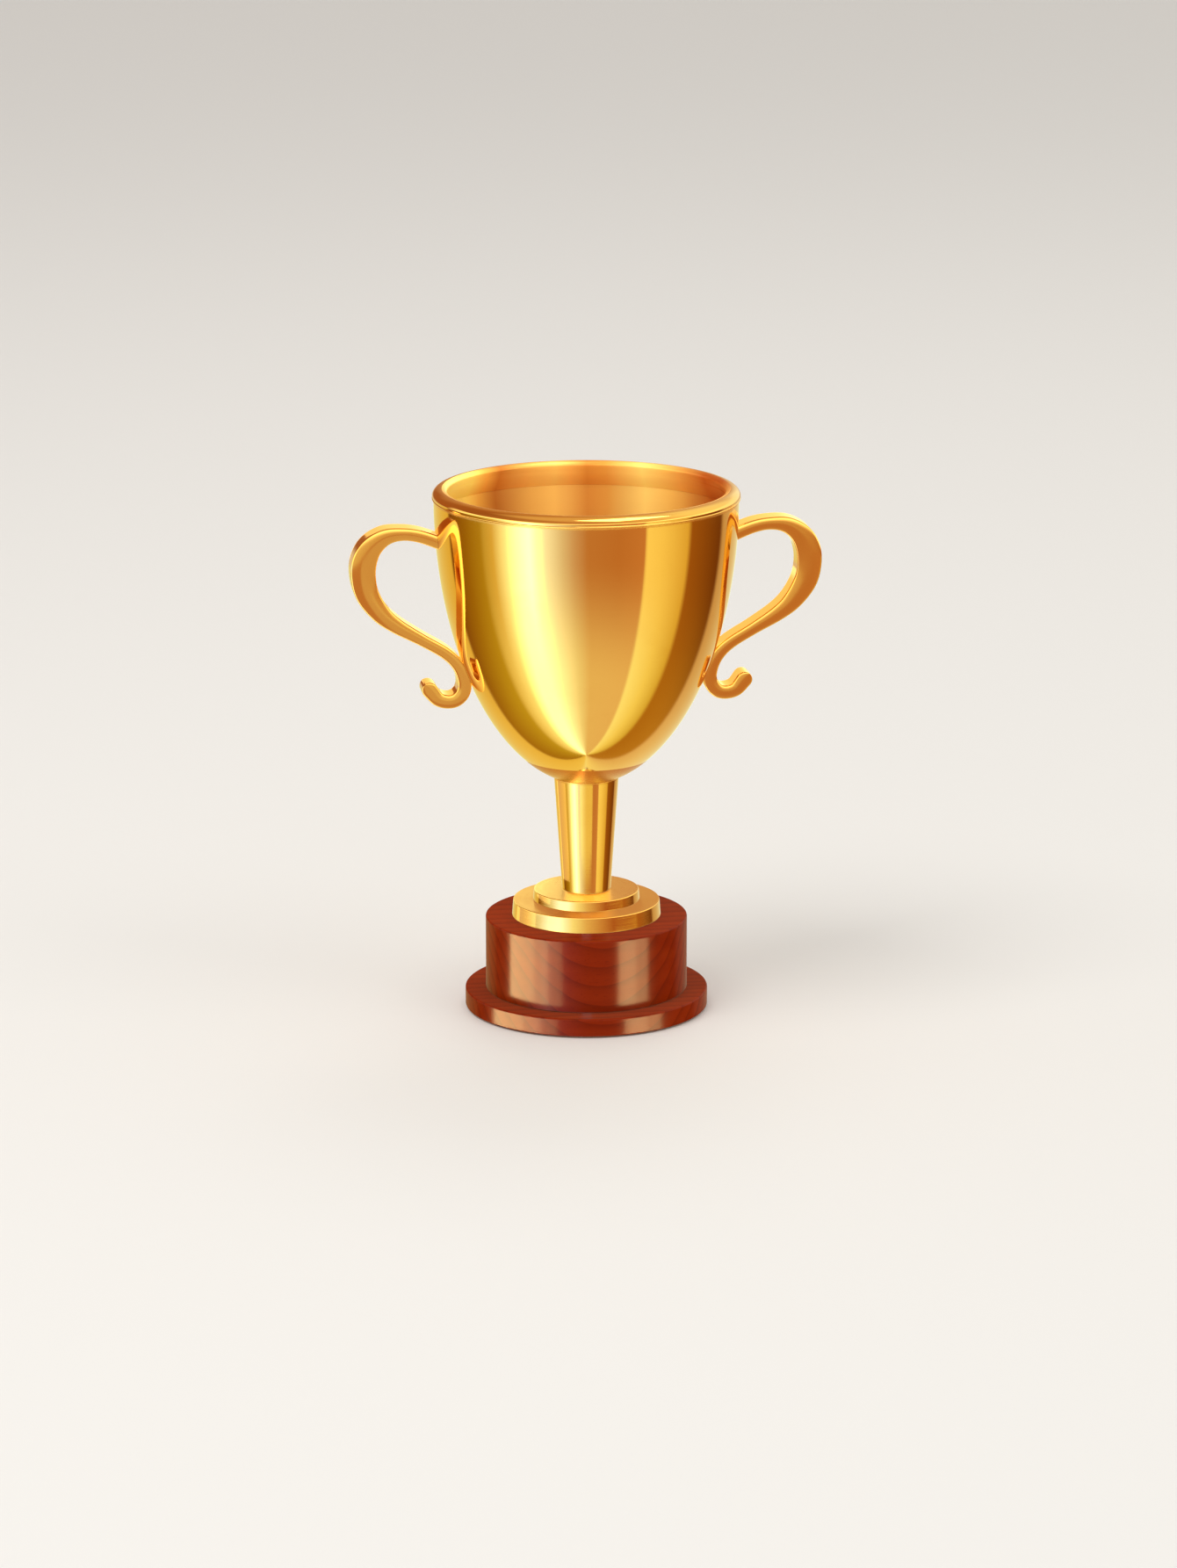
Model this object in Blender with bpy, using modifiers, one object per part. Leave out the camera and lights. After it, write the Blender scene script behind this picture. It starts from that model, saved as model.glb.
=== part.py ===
"""Two-handled presentation cup on a two-tier turned wood plinth.

The origin is on the surface that the trophy stands on, under the cup's axis. +Z is up, and the
handles lie along X. One M6 tie rod holds the stack together: it runs from a dome nut inside the
bowl, through the stem and its two foot discs, to a nut under the ballast inside the plinth.
"""

import math

import bmesh
import bpy
from mathutils import Matrix, Vector

MM = 0.001

# Room between two pieces that rest on or fit round each other.
GAP = 0.3 * MM

# Bowl: half an ellipsoid that hangs from the rim plane.
BOWL_RADIUS = 85.4 * MM
BOWL_DEPTH = 164.4 * MM
BOWL_WALL = 1.6 * MM
RIM_PLANE = 294.8 * MM
LIP_HEIGHT = 1.2 * MM
BOWL_STEPS = 14

# Rim: a half-round moulding that sits over the bowl's lip.
RIM_OUTER = 86.2 * MM
RIM_INNER = 77.6 * MM
RIM_TOP = 300.0 * MM
RIM_FOOT = 294.0 * MM
RIM_CREST = 80.6 * MM
RIM_COVE_DEPTH = 9.0 * MM

# Stem: a hollow taper, wide end up, between the bowl and the upper foot disc.
STEM_TOP_RADIUS = 18.3 * MM
STEM_BASE_RADIUS = 13.8 * MM
STEM_WALL = 2.0 * MM
STEM_SPIGOT_HEIGHT = 2.5 * MM

# Foot discs, from the top down.
UPPER_DISC_RADIUS = 30.2 * MM
UPPER_DISC_TOP = 68.3 * MM
UPPER_DISC_THICKNESS = 5.8 * MM
LOWER_DISC_RADIUS = 42.2 * MM
LOWER_DISC_THICKNESS = 8.9 * MM
DISC_SPIGOT_RADIUS = 12.0 * MM
DISC_SPIGOT_DEPTH = 2.0 * MM
DISC_EDGE = 0.5 * MM

# Plinth: a drum on a wider foot, with a felt pad let into the underside.
DRUM_RADIUS = 57.3 * MM
DRUM_TOP = 53.0 * MM
FOOT_RADIUS = 69.0 * MM
FOOT_TOP = 11.1 * MM
FOOT_UNDERSIDE = 1.0 * MM
FELT_RADIUS = 65.0 * MM
FELT_THICKNESS = 1.7 * MM
PLINTH_EDGE = 0.8 * MM
ACCESS_RADIUS = 14.0 * MM

# Ballast, in a pocket in the drum's underside.
POCKET_RADIUS = 38.0 * MM
POCKET_CEILING = 33.0 * MM
BALLAST_THICKNESS = 12.7 * MM

# M6 tie rod and what is on it.
ROD_RADIUS = 3.0 * MM
ROD_BOTTOM = 7.0 * MM
ROD_TOP = 145.0 * MM
ROD_HOLE = ROD_RADIUS + GAP
M6_ACROSS_FLATS = 10.0 * MM
SPREADER_RADIUS = 14.0 * MM
SPREADER_TOP = 136.2 * MM
DOME_NUT_HEX_HEIGHT = 5.5 * MM
DOME_NUT_HEIGHT = 12.0 * MM
DOME_RADIUS = 4.75 * MM
PENNY_WASHER_RADIUS = 12.0 * MM
PENNY_WASHER_THICKNESS = 1.5 * MM
SPRING_WASHER_RADIUS = 5.9 * MM
SPRING_WASHER_THICKNESS = 1.6 * MM
HEX_NUT_HEIGHT = 5.0 * MM

# Handles: a cast strap, bent to a scroll in the XZ plane.
HANDLE_DEPTH = 14.0 * MM
HANDLE_EDGE = 0.7 * MM
HANDLE_STEPS_PER_STATION = 2
SCROLL_TIP_RADIUS = 4.5 * MM
SCROLL_TIP_STEPS = 9
# Stations along the strap's middle line: distance from the axis, height, thickness, in millimetres.
# They run from inside the bowl's wall, over the top and down to the scroll's tip.
HANDLE_STATIONS = [
    (80.0, 270.8, 7.6),
    (94.5, 276.2, 7.2),
    (105.0, 277.6, 7.4),
    (114.0, 276.0, 9.6),
    (121.4, 270.4, 12.4),
    (125.3, 262.5, 14.0),
    (126.0, 253.5, 14.0),
    (123.7, 243.5, 13.2),
    (116.8, 233.2, 11.0),
    (108.0, 225.8, 8.9),
    (94.3, 217.6, 7.0),
    (80.8, 209.4, 6.8),
    (73.4, 201.8, 7.0),
    (69.9, 193.0, 7.6),
    (70.5, 186.6, 8.0),
    (74.2, 182.4, 8.0),
    (79.2, 181.3, 7.9),
    (84.8, 183.0, 8.2),
    (89.4, 188.2, 9.0),
]

# M3 handle screws, put in from inside the bowl.
SCREW_RADIUS = 1.5 * MM
SCREW_HEAD_RADIUS = 2.8 * MM
SCREW_HEAD_HEIGHT = 1.9 * MM
SCREW_SLOT_WIDTH = 0.8 * MM
SCREW_SLOT_DEPTH = 0.9 * MM
UPPER_SCREW_HEIGHT = 273.6 * MM
UPPER_SCREW_REACH = 5.6 * MM
LOWER_SCREW_HEIGHT = 196.5 * MM
LOWER_SCREW_REACH = 4.2 * MM
SCREW_WASHER_RADIUS = 3.5 * MM
SCREW_WASHER_THICKNESS = 0.7 * MM
# A flat washer on the curved wall stands off by this much at its middle.
WASHER_STANDOFF = 0.4 * MM

# Countersunk wood screws that join the plinth's two tiers from below.
WOOD_SCREW_COUNT = 4
WOOD_SCREW_CIRCLE = 47.6 * MM
WOOD_SCREW_RADIUS = 2.0 * MM
WOOD_SCREW_HEAD_RADIUS = 3.9 * MM
WOOD_SCREW_HEAD_HEIGHT = 2.2 * MM
WOOD_SCREW_LENGTH = 19.7 * MM
WOOD_SCREW_POINT = 3.0 * MM

# Facets round a turned piece.
COARSE, MEDIUM, FINE = 16, 28, 40

# Heights that follow from the stack.
UPPER_DISC_BOTTOM = UPPER_DISC_TOP - UPPER_DISC_THICKNESS
LOWER_DISC_TOP = UPPER_DISC_BOTTOM - GAP
LOWER_DISC_BOTTOM = LOWER_DISC_TOP - LOWER_DISC_THICKNESS
DRUM_BOTTOM = FOOT_TOP + GAP
REBATE_CEILING = FELT_THICKNESS + GAP
BALLAST_TOP = POCKET_CEILING - GAP
BALLAST_BOTTOM = BALLAST_TOP - BALLAST_THICKNESS


# ---------------------------------------------------------------- materials


def make_material(name, colour, roughness, metallic):
    material = bpy.data.materials.new(name)
    material.use_nodes = True
    material.diffuse_color = (*colour, 1.0)
    shader = material.node_tree.nodes["Principled BSDF"]
    shader.inputs["Base Color"].default_value = (*colour, 1.0)
    shader.inputs["Roughness"].default_value = roughness
    shader.inputs["Metallic"].default_value = metallic
    return material


# ---------------------------------------------------------------- shape tools


def clear_scene():
    for obj in list(bpy.data.objects):
        bpy.data.objects.remove(obj)


def make_collection(name):
    collection = bpy.data.collections.new(name)
    bpy.context.scene.collection.children.link(collection)
    return collection


def add_object(name, data, collection, material=None):
    obj = bpy.data.objects.new(name, data)
    collection.objects.link(obj)
    if material is not None:
        data.materials.append(material)
    return obj


def turned(name, profile, collection, material=None, facets=FINE, closed=True):
    """A profile of (radius, height) points, spun round Z. It runs down its outer side."""
    mesh = bpy.data.meshes.new(name)
    edges = [(i, i + 1) for i in range(len(profile) - 1)]
    if closed:
        edges.append((len(profile) - 1, 0))
    mesh.from_pydata([(radius, 0.0, height) for radius, height in profile], edges, [])
    obj = add_object(name, mesh, collection, material)
    screw = obj.modifiers.new("Turn", "SCREW")
    screw.steps = screw.render_steps = facets
    screw.use_merge_vertices = True
    screw.merge_threshold = 0.00001
    return obj


def cut(obj, cutter, operation="DIFFERENCE"):
    boolean = obj.modifiers.new(cutter.name, "BOOLEAN")
    boolean.operation = operation
    boolean.object = cutter
    return obj


def as_cutter(obj):
    obj.hide_render = True
    obj.display_type = "WIRE"
    return obj


def along(obj, point, direction):
    """Stands an object, made up +Z from its origin, at a point and turned to a direction."""
    turn = Vector(direction).to_track_quat("Z", "Y").to_matrix().to_4x4()
    obj.matrix_world = Matrix.Translation(point) @ turn
    return obj


def cylinder_mesh(name, radius, low, high, facets=MEDIUM):
    """A closed cylinder on Z, from one height to another."""
    mesh = bpy.data.meshes.new(name)
    shape = bmesh.new()
    bmesh.ops.create_cone(
        shape,
        cap_ends=True,
        segments=facets,
        radius1=radius,
        radius2=radius,
        depth=high - low,
        matrix=Matrix.Translation((0, 0, (low + high) / 2)),
    )
    shape.to_mesh(mesh)
    shape.free()
    return mesh


def box_mesh(name, size, centre):
    mesh = bpy.data.meshes.new(name)
    shape = bmesh.new()
    bmesh.ops.create_cube(shape, size=1.0, matrix=Matrix.Translation(centre) @ Matrix.Diagonal((*size, 1.0)))
    shape.to_mesh(mesh)
    shape.free()
    return mesh


def smooth(obj):
    """Smooth shading with sharp edges kept, on the mesh that the modifiers start from."""
    if obj.type == "MESH" and obj.data.polygons:
        obj.data.shade_smooth()
        obj.data.set_sharp_from_angle(angle=math.radians(30))


# ---------------------------------------------------------------- the bowl's surface


def bowl_radius_at(height, inset=0.0):
    """The ellipsoid's radius at a height. A positive inset gives a surface inside it."""
    drop = (RIM_PLANE - height) / (BOWL_DEPTH - inset)
    return (BOWL_RADIUS - inset) * math.sqrt(max(0.0, 1.0 - drop * drop))


def bowl_height_at(radius, inset=0.0):
    share = radius / (BOWL_RADIUS - inset)
    return RIM_PLANE - (BOWL_DEPTH - inset) * math.sqrt(1.0 - share * share)


def bowl_outward(height):
    """The outward normal of the bowl at a height, in the XZ plane on the +X side."""
    slope = Vector((bowl_radius_at(height) / BOWL_RADIUS**2, 0, (height - RIM_PLANE) / BOWL_DEPTH**2))
    return slope.normalized()


def bowl_curve(inset, end_radius, steps):
    """Points down the ellipsoid, from the rim plane to a radius near the axis."""
    radius, depth = BOWL_RADIUS - inset, BOWL_DEPTH - inset
    last = math.acos(end_radius / radius)
    angles = [last * i / steps for i in range(steps + 1)]
    return [(radius * math.cos(a), RIM_PLANE - depth * math.sin(a)) for a in angles]


# ---------------------------------------------------------------- cup


def make_bowl(parts, gold):
    lip = RIM_PLANE + LIP_HEIGHT
    outer = bowl_curve(0.0, ROD_HOLE, BOWL_STEPS)
    inner = bowl_curve(BOWL_WALL, ROD_HOLE, BOWL_STEPS)
    profile = [(BOWL_RADIUS, lip), *outer, *reversed(inner), (BOWL_RADIUS - BOWL_WALL, lip)]
    return turned("cup_bowl", profile, parts, gold)


def make_rim(parts, gold):
    """A half-round moulding with a groove for the bowl's lip and a cove that meets the inner wall."""
    crest_height = RIM_TOP - RIM_FOOT - GAP
    shoulder = RIM_FOOT + 1.3 * MM
    inner_edge = RIM_TOP - 2.6 * MM
    outer_arc = [math.radians(a) for a in (90, 62, 36, 14, 0)]
    inner_arc = [math.radians(a) for a in (0, 40, 70)]
    outer = [
        (RIM_CREST + (RIM_OUTER - RIM_CREST) * math.cos(a), shoulder + (RIM_TOP - shoulder) * math.sin(a))
        for a in outer_arc
    ]
    inner = [
        (RIM_CREST - (RIM_CREST - RIM_INNER) * math.cos(a), inner_edge + (RIM_TOP - inner_edge) * math.sin(a))
        for a in inner_arc
    ]
    groove_outer = BOWL_RADIUS + GAP
    groove_inner = BOWL_RADIUS - BOWL_WALL - GAP
    groove_top = RIM_PLANE + LIP_HEIGHT + GAP
    cove_foot = RIM_TOP - crest_height - RIM_COVE_DEPTH
    cove = [
        (bowl_radius_at(cove_foot, BOWL_WALL + GAP), cove_foot),
        (RIM_INNER + 2.6 * MM, cove_foot + 4.0 * MM),
        (RIM_INNER + 0.7 * MM, cove_foot + 8.4 * MM),
    ]
    profile = [
        *outer,
        (RIM_OUTER, RIM_FOOT),
        (groove_outer, RIM_FOOT),
        (groove_outer, groove_top),
        (groove_inner, groove_top),
        (groove_inner, RIM_FOOT),
        *cove,
        *inner,
    ]
    return turned("rim_ring", profile, parts, gold)


def make_spreader(parts, gold):
    """A washer, round underneath, that seats in the bottom of the bowl and is flat on top."""
    clear = BOWL_WALL + GAP
    under = [
        (radius, bowl_height_at(radius, clear) + 0.1 * MM)
        for radius in (SPREADER_RADIUS, SPREADER_RADIUS * 0.7, ROD_HOLE)
    ]
    profile = [(SPREADER_RADIUS - DISC_EDGE, SPREADER_TOP), (SPREADER_RADIUS, SPREADER_TOP - DISC_EDGE)]
    profile += [*under, (ROD_HOLE, SPREADER_TOP)]
    return turned("bowl_spreader_washer", profile, parts, gold, MEDIUM)


def hexagon(name, height, collection, material=None):
    """A hexagonal prism, flat sides facing X, from its origin up."""
    circumradius = M6_ACROSS_FLATS / math.sqrt(3)
    mesh = cylinder_mesh(name, circumradius, 0.0, height, 6)
    return add_object(name, mesh, collection, material)


def make_dome_nut(parts, cutters, gold):
    """A hexagon that rises into a dome, with a blind hole for the rod."""
    seat = SPREADER_TOP + GAP
    nut = hexagon("dome_nut", DOME_NUT_HEX_HEIGHT, parts, gold)
    nut.location.z = seat
    crown = DOME_NUT_HEIGHT - DOME_NUT_HEX_HEIGHT
    arc = [math.radians(a) for a in (90, 68, 46, 23, 0)]
    dome = [(DOME_RADIUS * math.cos(a), DOME_NUT_HEX_HEIGHT + crown * math.sin(a)) for a in arc]
    dome[0] = (0.0, DOME_NUT_HEIGHT)
    dome += [(DOME_RADIUS, DOME_NUT_HEX_HEIGHT - 1.0 * MM), (0.0, DOME_NUT_HEX_HEIGHT - 1.0 * MM)]
    dome_piece = as_cutter(turned("dome_nut_crown", dome, cutters, None, COARSE, closed=False))
    dome_piece.location.z = seat
    cut(nut, dome_piece, "UNION")
    hole = cylinder_mesh("dome_nut_hole", ROD_HOLE, -1.0 * MM, ROD_TOP + 2 * GAP - seat, COARSE)
    hole_piece = as_cutter(add_object("dome_nut_hole", hole, cutters))
    hole_piece.location.z = seat
    return cut(nut, hole_piece)


def make_stem(parts, gold):
    foot = UPPER_DISC_TOP + GAP
    top_outer = bowl_height_at(STEM_TOP_RADIUS) - GAP
    inner_radius = STEM_TOP_RADIUS - STEM_WALL
    top_inner = bowl_height_at(inner_radius) - GAP
    profile = [
        (STEM_TOP_RADIUS, top_outer),
        (STEM_BASE_RADIUS, foot),
        (STEM_BASE_RADIUS - STEM_WALL, foot),
        (inner_radius, top_inner),
    ]
    return turned("stem", profile, parts, gold, MEDIUM)


def make_upper_disc(parts, gold):
    """The smaller foot disc, with a spigot up into the stem and one down into the lower disc."""
    top, bottom = UPPER_DISC_TOP, UPPER_DISC_BOTTOM
    stem_spigot = STEM_BASE_RADIUS - STEM_WALL - 0.4 * MM
    profile = [
        (stem_spigot, top + STEM_SPIGOT_HEIGHT),
        (stem_spigot, top),
        (UPPER_DISC_RADIUS - DISC_EDGE, top),
        (UPPER_DISC_RADIUS, top - DISC_EDGE),
        (UPPER_DISC_RADIUS, bottom),
        (DISC_SPIGOT_RADIUS, bottom),
        (DISC_SPIGOT_RADIUS, bottom - DISC_SPIGOT_DEPTH),
        (ROD_HOLE, bottom - DISC_SPIGOT_DEPTH),
        (ROD_HOLE, top + STEM_SPIGOT_HEIGHT),
    ]
    return turned("foot_disc_upper", profile, parts, gold)


def make_lower_disc(parts, gold):
    """The larger foot disc, a casting that is hollow underneath round a central boss."""
    top, bottom = LOWER_DISC_TOP, LOWER_DISC_BOTTOM
    recess_radius = DISC_SPIGOT_RADIUS + 0.4 * MM
    recess_floor = UPPER_DISC_BOTTOM - DISC_SPIGOT_DEPTH - GAP
    hollow_ceiling = bottom + 3.6 * MM
    hollow_radius = LOWER_DISC_RADIUS - 5.0 * MM
    boss_radius = 10.0 * MM
    profile = [
        (LOWER_DISC_RADIUS - DISC_EDGE, top),
        (LOWER_DISC_RADIUS, top - DISC_EDGE),
        (LOWER_DISC_RADIUS, bottom),
        (hollow_radius, bottom),
        (hollow_radius, hollow_ceiling),
        (boss_radius, hollow_ceiling),
        (boss_radius, bottom),
        (ROD_HOLE, bottom),
        (ROD_HOLE, recess_floor),
        (recess_radius, recess_floor),
        (recess_radius, top),
    ]
    return turned("foot_disc_lower", profile, parts, gold)


# ---------------------------------------------------------------- handles


def smooth_line(stations, steps):
    """Points on a Catmull-Rom curve through the stations."""
    padded = [2 * stations[0] - stations[1], *stations, 2 * stations[-1] - stations[-2]]
    line = []
    for a, b, c, d in zip(padded, padded[1:], padded[2:], padded[3:]):
        for i in range(steps):
            t = i / steps
            line.append(
                0.5 * (2 * b + (c - a) * t + (2 * a - 5 * b + 4 * c - d) * t**2 + (3 * b - a - 3 * c + d) * t**3)
            )
    return [*line, stations[-1]]


def handle_outline():
    """The strap's outline in the XZ plane: out along one side, round the tip and back."""
    line = smooth_line([Vector(station) * MM for station in HANDLE_STATIONS], HANDLE_STEPS_PER_STATION)
    above, below = [], []
    for i, point in enumerate(line):
        ahead = (line[min(i + 1, len(line) - 1)] - line[max(i - 1, 0)]).to_2d().normalized()
        side = Vector((-ahead.y, ahead.x)) * point.z / 2
        above.append(point.to_2d() + side)
        below.append(point.to_2d() - side)
    centre = line[-1].to_2d()
    start = math.atan2(*(below[-1] - centre).yx)
    tip = [
        centre + SCROLL_TIP_RADIUS * Vector((math.cos(a), math.sin(a)))
        for a in (start + math.pi * i / SCROLL_TIP_STEPS for i in range(1, SCROLL_TIP_STEPS))
    ]
    return [*below, *tip, *reversed(above)]


def handle_solid(collection):
    """The strap as a closed mesh: a flat outline with thickness and small chamfers."""
    outline = handle_outline()
    curve = bpy.data.curves.new("handle_outline", "CURVE")
    curve.dimensions = "2D"
    curve.fill_mode = "BOTH"
    curve.extrude = HANDLE_DEPTH / 2 - HANDLE_EDGE
    curve.bevel_depth = HANDLE_EDGE
    curve.bevel_resolution = 0
    curve.offset = -HANDLE_EDGE
    spline = curve.splines.new("POLY")
    spline.points.add(len(outline) - 1)
    for point, (x, z) in zip(spline.points, outline):
        point.co = (x, z, 0, 1)
    spline.use_cyclic_u = True
    guide = add_object("handle_outline", curve, collection)
    guide.rotation_euler.x = math.pi / 2
    bpy.context.view_layer.update()
    mesh = bpy.data.meshes.new_from_object(guide.evaluated_get(bpy.context.evaluated_depsgraph_get()))
    mesh.transform(guide.matrix_world)
    bpy.data.objects.remove(guide)
    shape = bmesh.new()
    shape.from_mesh(mesh)
    bmesh.ops.remove_doubles(shape, verts=shape.verts, dist=0.00001)
    bmesh.ops.recalc_face_normals(shape, faces=shape.faces)
    shape.to_mesh(mesh)
    shape.free()
    mesh.name = "handle"
    return mesh


def make_handles(parts, cutters, gold):
    """Two castings of one pattern, each cut to seat on the bowl and drilled for its screws."""
    mesh = handle_solid(cutters)
    seat_points = [(r, z) for r, z in bowl_curve(-GAP, 10 * MM, 2 * BOWL_STEPS)]
    seat_profile = [(0.0, RIM_PLANE), *seat_points, (0.0, seat_points[-1][1])]
    seat = as_cutter(turned("handle_seat", seat_profile, cutters, None, 2 * FINE, closed=False))
    drills = []
    for place, height, reach in handle_screw_places():
        hole = cylinder_mesh(f"handle_drill_{place}", SCREW_RADIUS + GAP, -2 * MM, reach + GAP, COARSE)
        drills.append((as_cutter(add_object(hole.name, hole, cutters)), height))
    for side, turn in (("right", 0.0), ("left", math.pi)):
        handle = add_object(f"handle_{side}", mesh.copy(), parts, gold)
        handle.rotation_euler.z = turn
        cut(handle, seat)
        for drill, height in drills:
            placed = drill if side == "right" else drill.copy()
            if side == "left":
                cutters.objects.link(placed)
            stand_on_bowl(placed, height, 0.0, side)
            cut(handle, placed)


def handle_screw_places():
    return (
        ("upper", UPPER_SCREW_HEIGHT, UPPER_SCREW_REACH),
        ("lower", LOWER_SCREW_HEIGHT, LOWER_SCREW_REACH),
    )


def stand_on_bowl(obj, height, distance, side):
    """Puts an object on the bowl's outer surface, pointing outwards, at a distance along its normal."""
    outward = bowl_outward(height)
    point = Vector((bowl_radius_at(height), 0, height)) + outward * distance
    if side == "left":
        outward.x, point.x = -outward.x, -point.x
    return along(obj, point, outward)


def screw_mesh(reach):
    """A pan-head screw that points up +Z, with the bowl's outer surface at its origin."""
    under_head = -(BOWL_WALL + WASHER_STANDOFF + SCREW_WASHER_THICKNESS + GAP)
    head = under_head - SCREW_HEAD_HEIGHT
    crown = 0.6 * MM
    return [
        (0.0, reach),
        (SCREW_RADIUS - 0.4 * MM, reach),
        (SCREW_RADIUS, reach - 0.4 * MM),
        (SCREW_RADIUS, under_head),
        (SCREW_HEAD_RADIUS, under_head),
        (SCREW_HEAD_RADIUS, head + crown),
        (SCREW_HEAD_RADIUS - crown, head),
        (0.0, head),
    ]


def make_handle_screws(parts, cutters, gold):
    standoff = BOWL_WALL + WASHER_STANDOFF
    head = -(standoff + SCREW_WASHER_THICKNESS + GAP + SCREW_HEAD_HEIGHT)
    slot_size = (3 * SCREW_HEAD_RADIUS, SCREW_SLOT_WIDTH, 2 * SCREW_SLOT_DEPTH)
    washer_profile = [
        (SCREW_WASHER_RADIUS, SCREW_WASHER_THICKNESS),
        (SCREW_WASHER_RADIUS, 0.0),
        (SCREW_RADIUS + GAP, 0.0),
        (SCREW_RADIUS + GAP, SCREW_WASHER_THICKNESS),
    ]
    for side in ("left", "right"):
        for place, height, reach in handle_screw_places():
            name = f"handle_screw_{side}_{place}"
            screw = turned(name, screw_mesh(reach), parts, gold, COARSE, closed=False)
            slot = as_cutter(add_object(f"{name}_slot", box_mesh("slot", slot_size, (0, 0, head)), cutters))
            stand_on_bowl(screw, height, 0.0, side)
            stand_on_bowl(slot, height, 0.0, side)
            cut(screw, slot)
            washer = turned(f"handle_washer_{side}_{place}", washer_profile, parts, gold, COARSE)
            stand_on_bowl(washer, height, -(standoff + SCREW_WASHER_THICKNESS), side)


def drill_bowl(bowl, cutters):
    """Four clearance holes through the bowl's wall for the handle screws."""
    for side in ("left", "right"):
        for place, height, _ in handle_screw_places():
            name = f"bowl_drill_{side}_{place}"
            mesh = cylinder_mesh(name, SCREW_RADIUS + GAP, -4 * BOWL_WALL, 2 * BOWL_WALL, COARSE)
            drill = as_cutter(add_object(name, mesh, cutters))
            stand_on_bowl(drill, height, 0.0, side)
            cut(bowl, drill)


# ---------------------------------------------------------------- plinth


def make_drum(parts, wood):
    bore = ROD_RADIUS + 0.5 * MM
    profile = [
        (DRUM_RADIUS - PLINTH_EDGE, DRUM_TOP),
        (DRUM_RADIUS, DRUM_TOP - PLINTH_EDGE),
        (DRUM_RADIUS, DRUM_BOTTOM),
        (POCKET_RADIUS, DRUM_BOTTOM),
        (POCKET_RADIUS, POCKET_CEILING),
        (bore, POCKET_CEILING),
        (bore, DRUM_TOP),
    ]
    return turned("plinth_drum", profile, parts, wood)


def make_plinth_foot(parts, wood):
    """The wide tier, with a rebate underneath for the felt and an access hole to the nut."""
    rebate_radius = FELT_RADIUS + 0.4 * MM
    profile = [
        (FOOT_RADIUS - PLINTH_EDGE, FOOT_TOP),
        (FOOT_RADIUS, FOOT_TOP - PLINTH_EDGE),
        (FOOT_RADIUS, FOOT_UNDERSIDE + PLINTH_EDGE / 2),
        (FOOT_RADIUS - PLINTH_EDGE / 2, FOOT_UNDERSIDE),
        (rebate_radius, FOOT_UNDERSIDE),
        (rebate_radius, REBATE_CEILING),
        (ACCESS_RADIUS, REBATE_CEILING),
        (ACCESS_RADIUS, FOOT_TOP),
    ]
    return turned("plinth_foot", profile, parts, wood)


def make_wood_screws(parts, cutters, steel, drum, foot):
    """Countersunk screws up through the foot into the drum, each in its own clearance hole."""
    head_face = REBATE_CEILING + GAP
    neck = WOOD_SCREW_HEAD_HEIGHT
    screw_profile = [
        (0.0, WOOD_SCREW_LENGTH),
        (WOOD_SCREW_RADIUS, WOOD_SCREW_LENGTH - WOOD_SCREW_POINT),
        (WOOD_SCREW_RADIUS, neck),
        (WOOD_SCREW_HEAD_RADIUS, 0.0),
        (0.0, 0.0),
    ]
    hole = WOOD_SCREW_RADIUS + GAP
    sink = WOOD_SCREW_HEAD_RADIUS + 0.5 * MM
    hole_profile = [
        (0.0, WOOD_SCREW_LENGTH + GAP),
        (hole, WOOD_SCREW_LENGTH + GAP - WOOD_SCREW_POINT / 2),
        (hole, neck),
        (sink, 0.0),
        (sink, -1.0 * MM),
        (0.0, -1.0 * MM),
    ]
    for i in range(WOOD_SCREW_COUNT):
        angle = math.pi * (2 * i + 1) / WOOD_SCREW_COUNT
        place = (WOOD_SCREW_CIRCLE * math.cos(angle), WOOD_SCREW_CIRCLE * math.sin(angle), head_face)
        screw = turned(f"plinth_screw_{i + 1}", screw_profile, parts, steel, COARSE, closed=False)
        screw.location = place
        hole_piece = turned(f"plinth_hole_{i + 1}", hole_profile, cutters, None, COARSE, closed=False)
        hole_piece.location = place
        as_cutter(hole_piece)
        cut(foot, hole_piece)
        cut(drum, hole_piece)


def make_felt(parts, felt):
    return add_object("base_felt", cylinder_mesh("base_felt", FELT_RADIUS, 0.0, FELT_THICKNESS, FINE), parts, felt)


# ---------------------------------------------------------------- tie rod


def ring(name, radius, low, thickness, collection, material, facets=MEDIUM, hole=ROD_HOLE):
    profile = [(radius, low + thickness), (radius, low), (hole, low), (hole, low + thickness)]
    return turned(name, profile, collection, material, facets)


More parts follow.
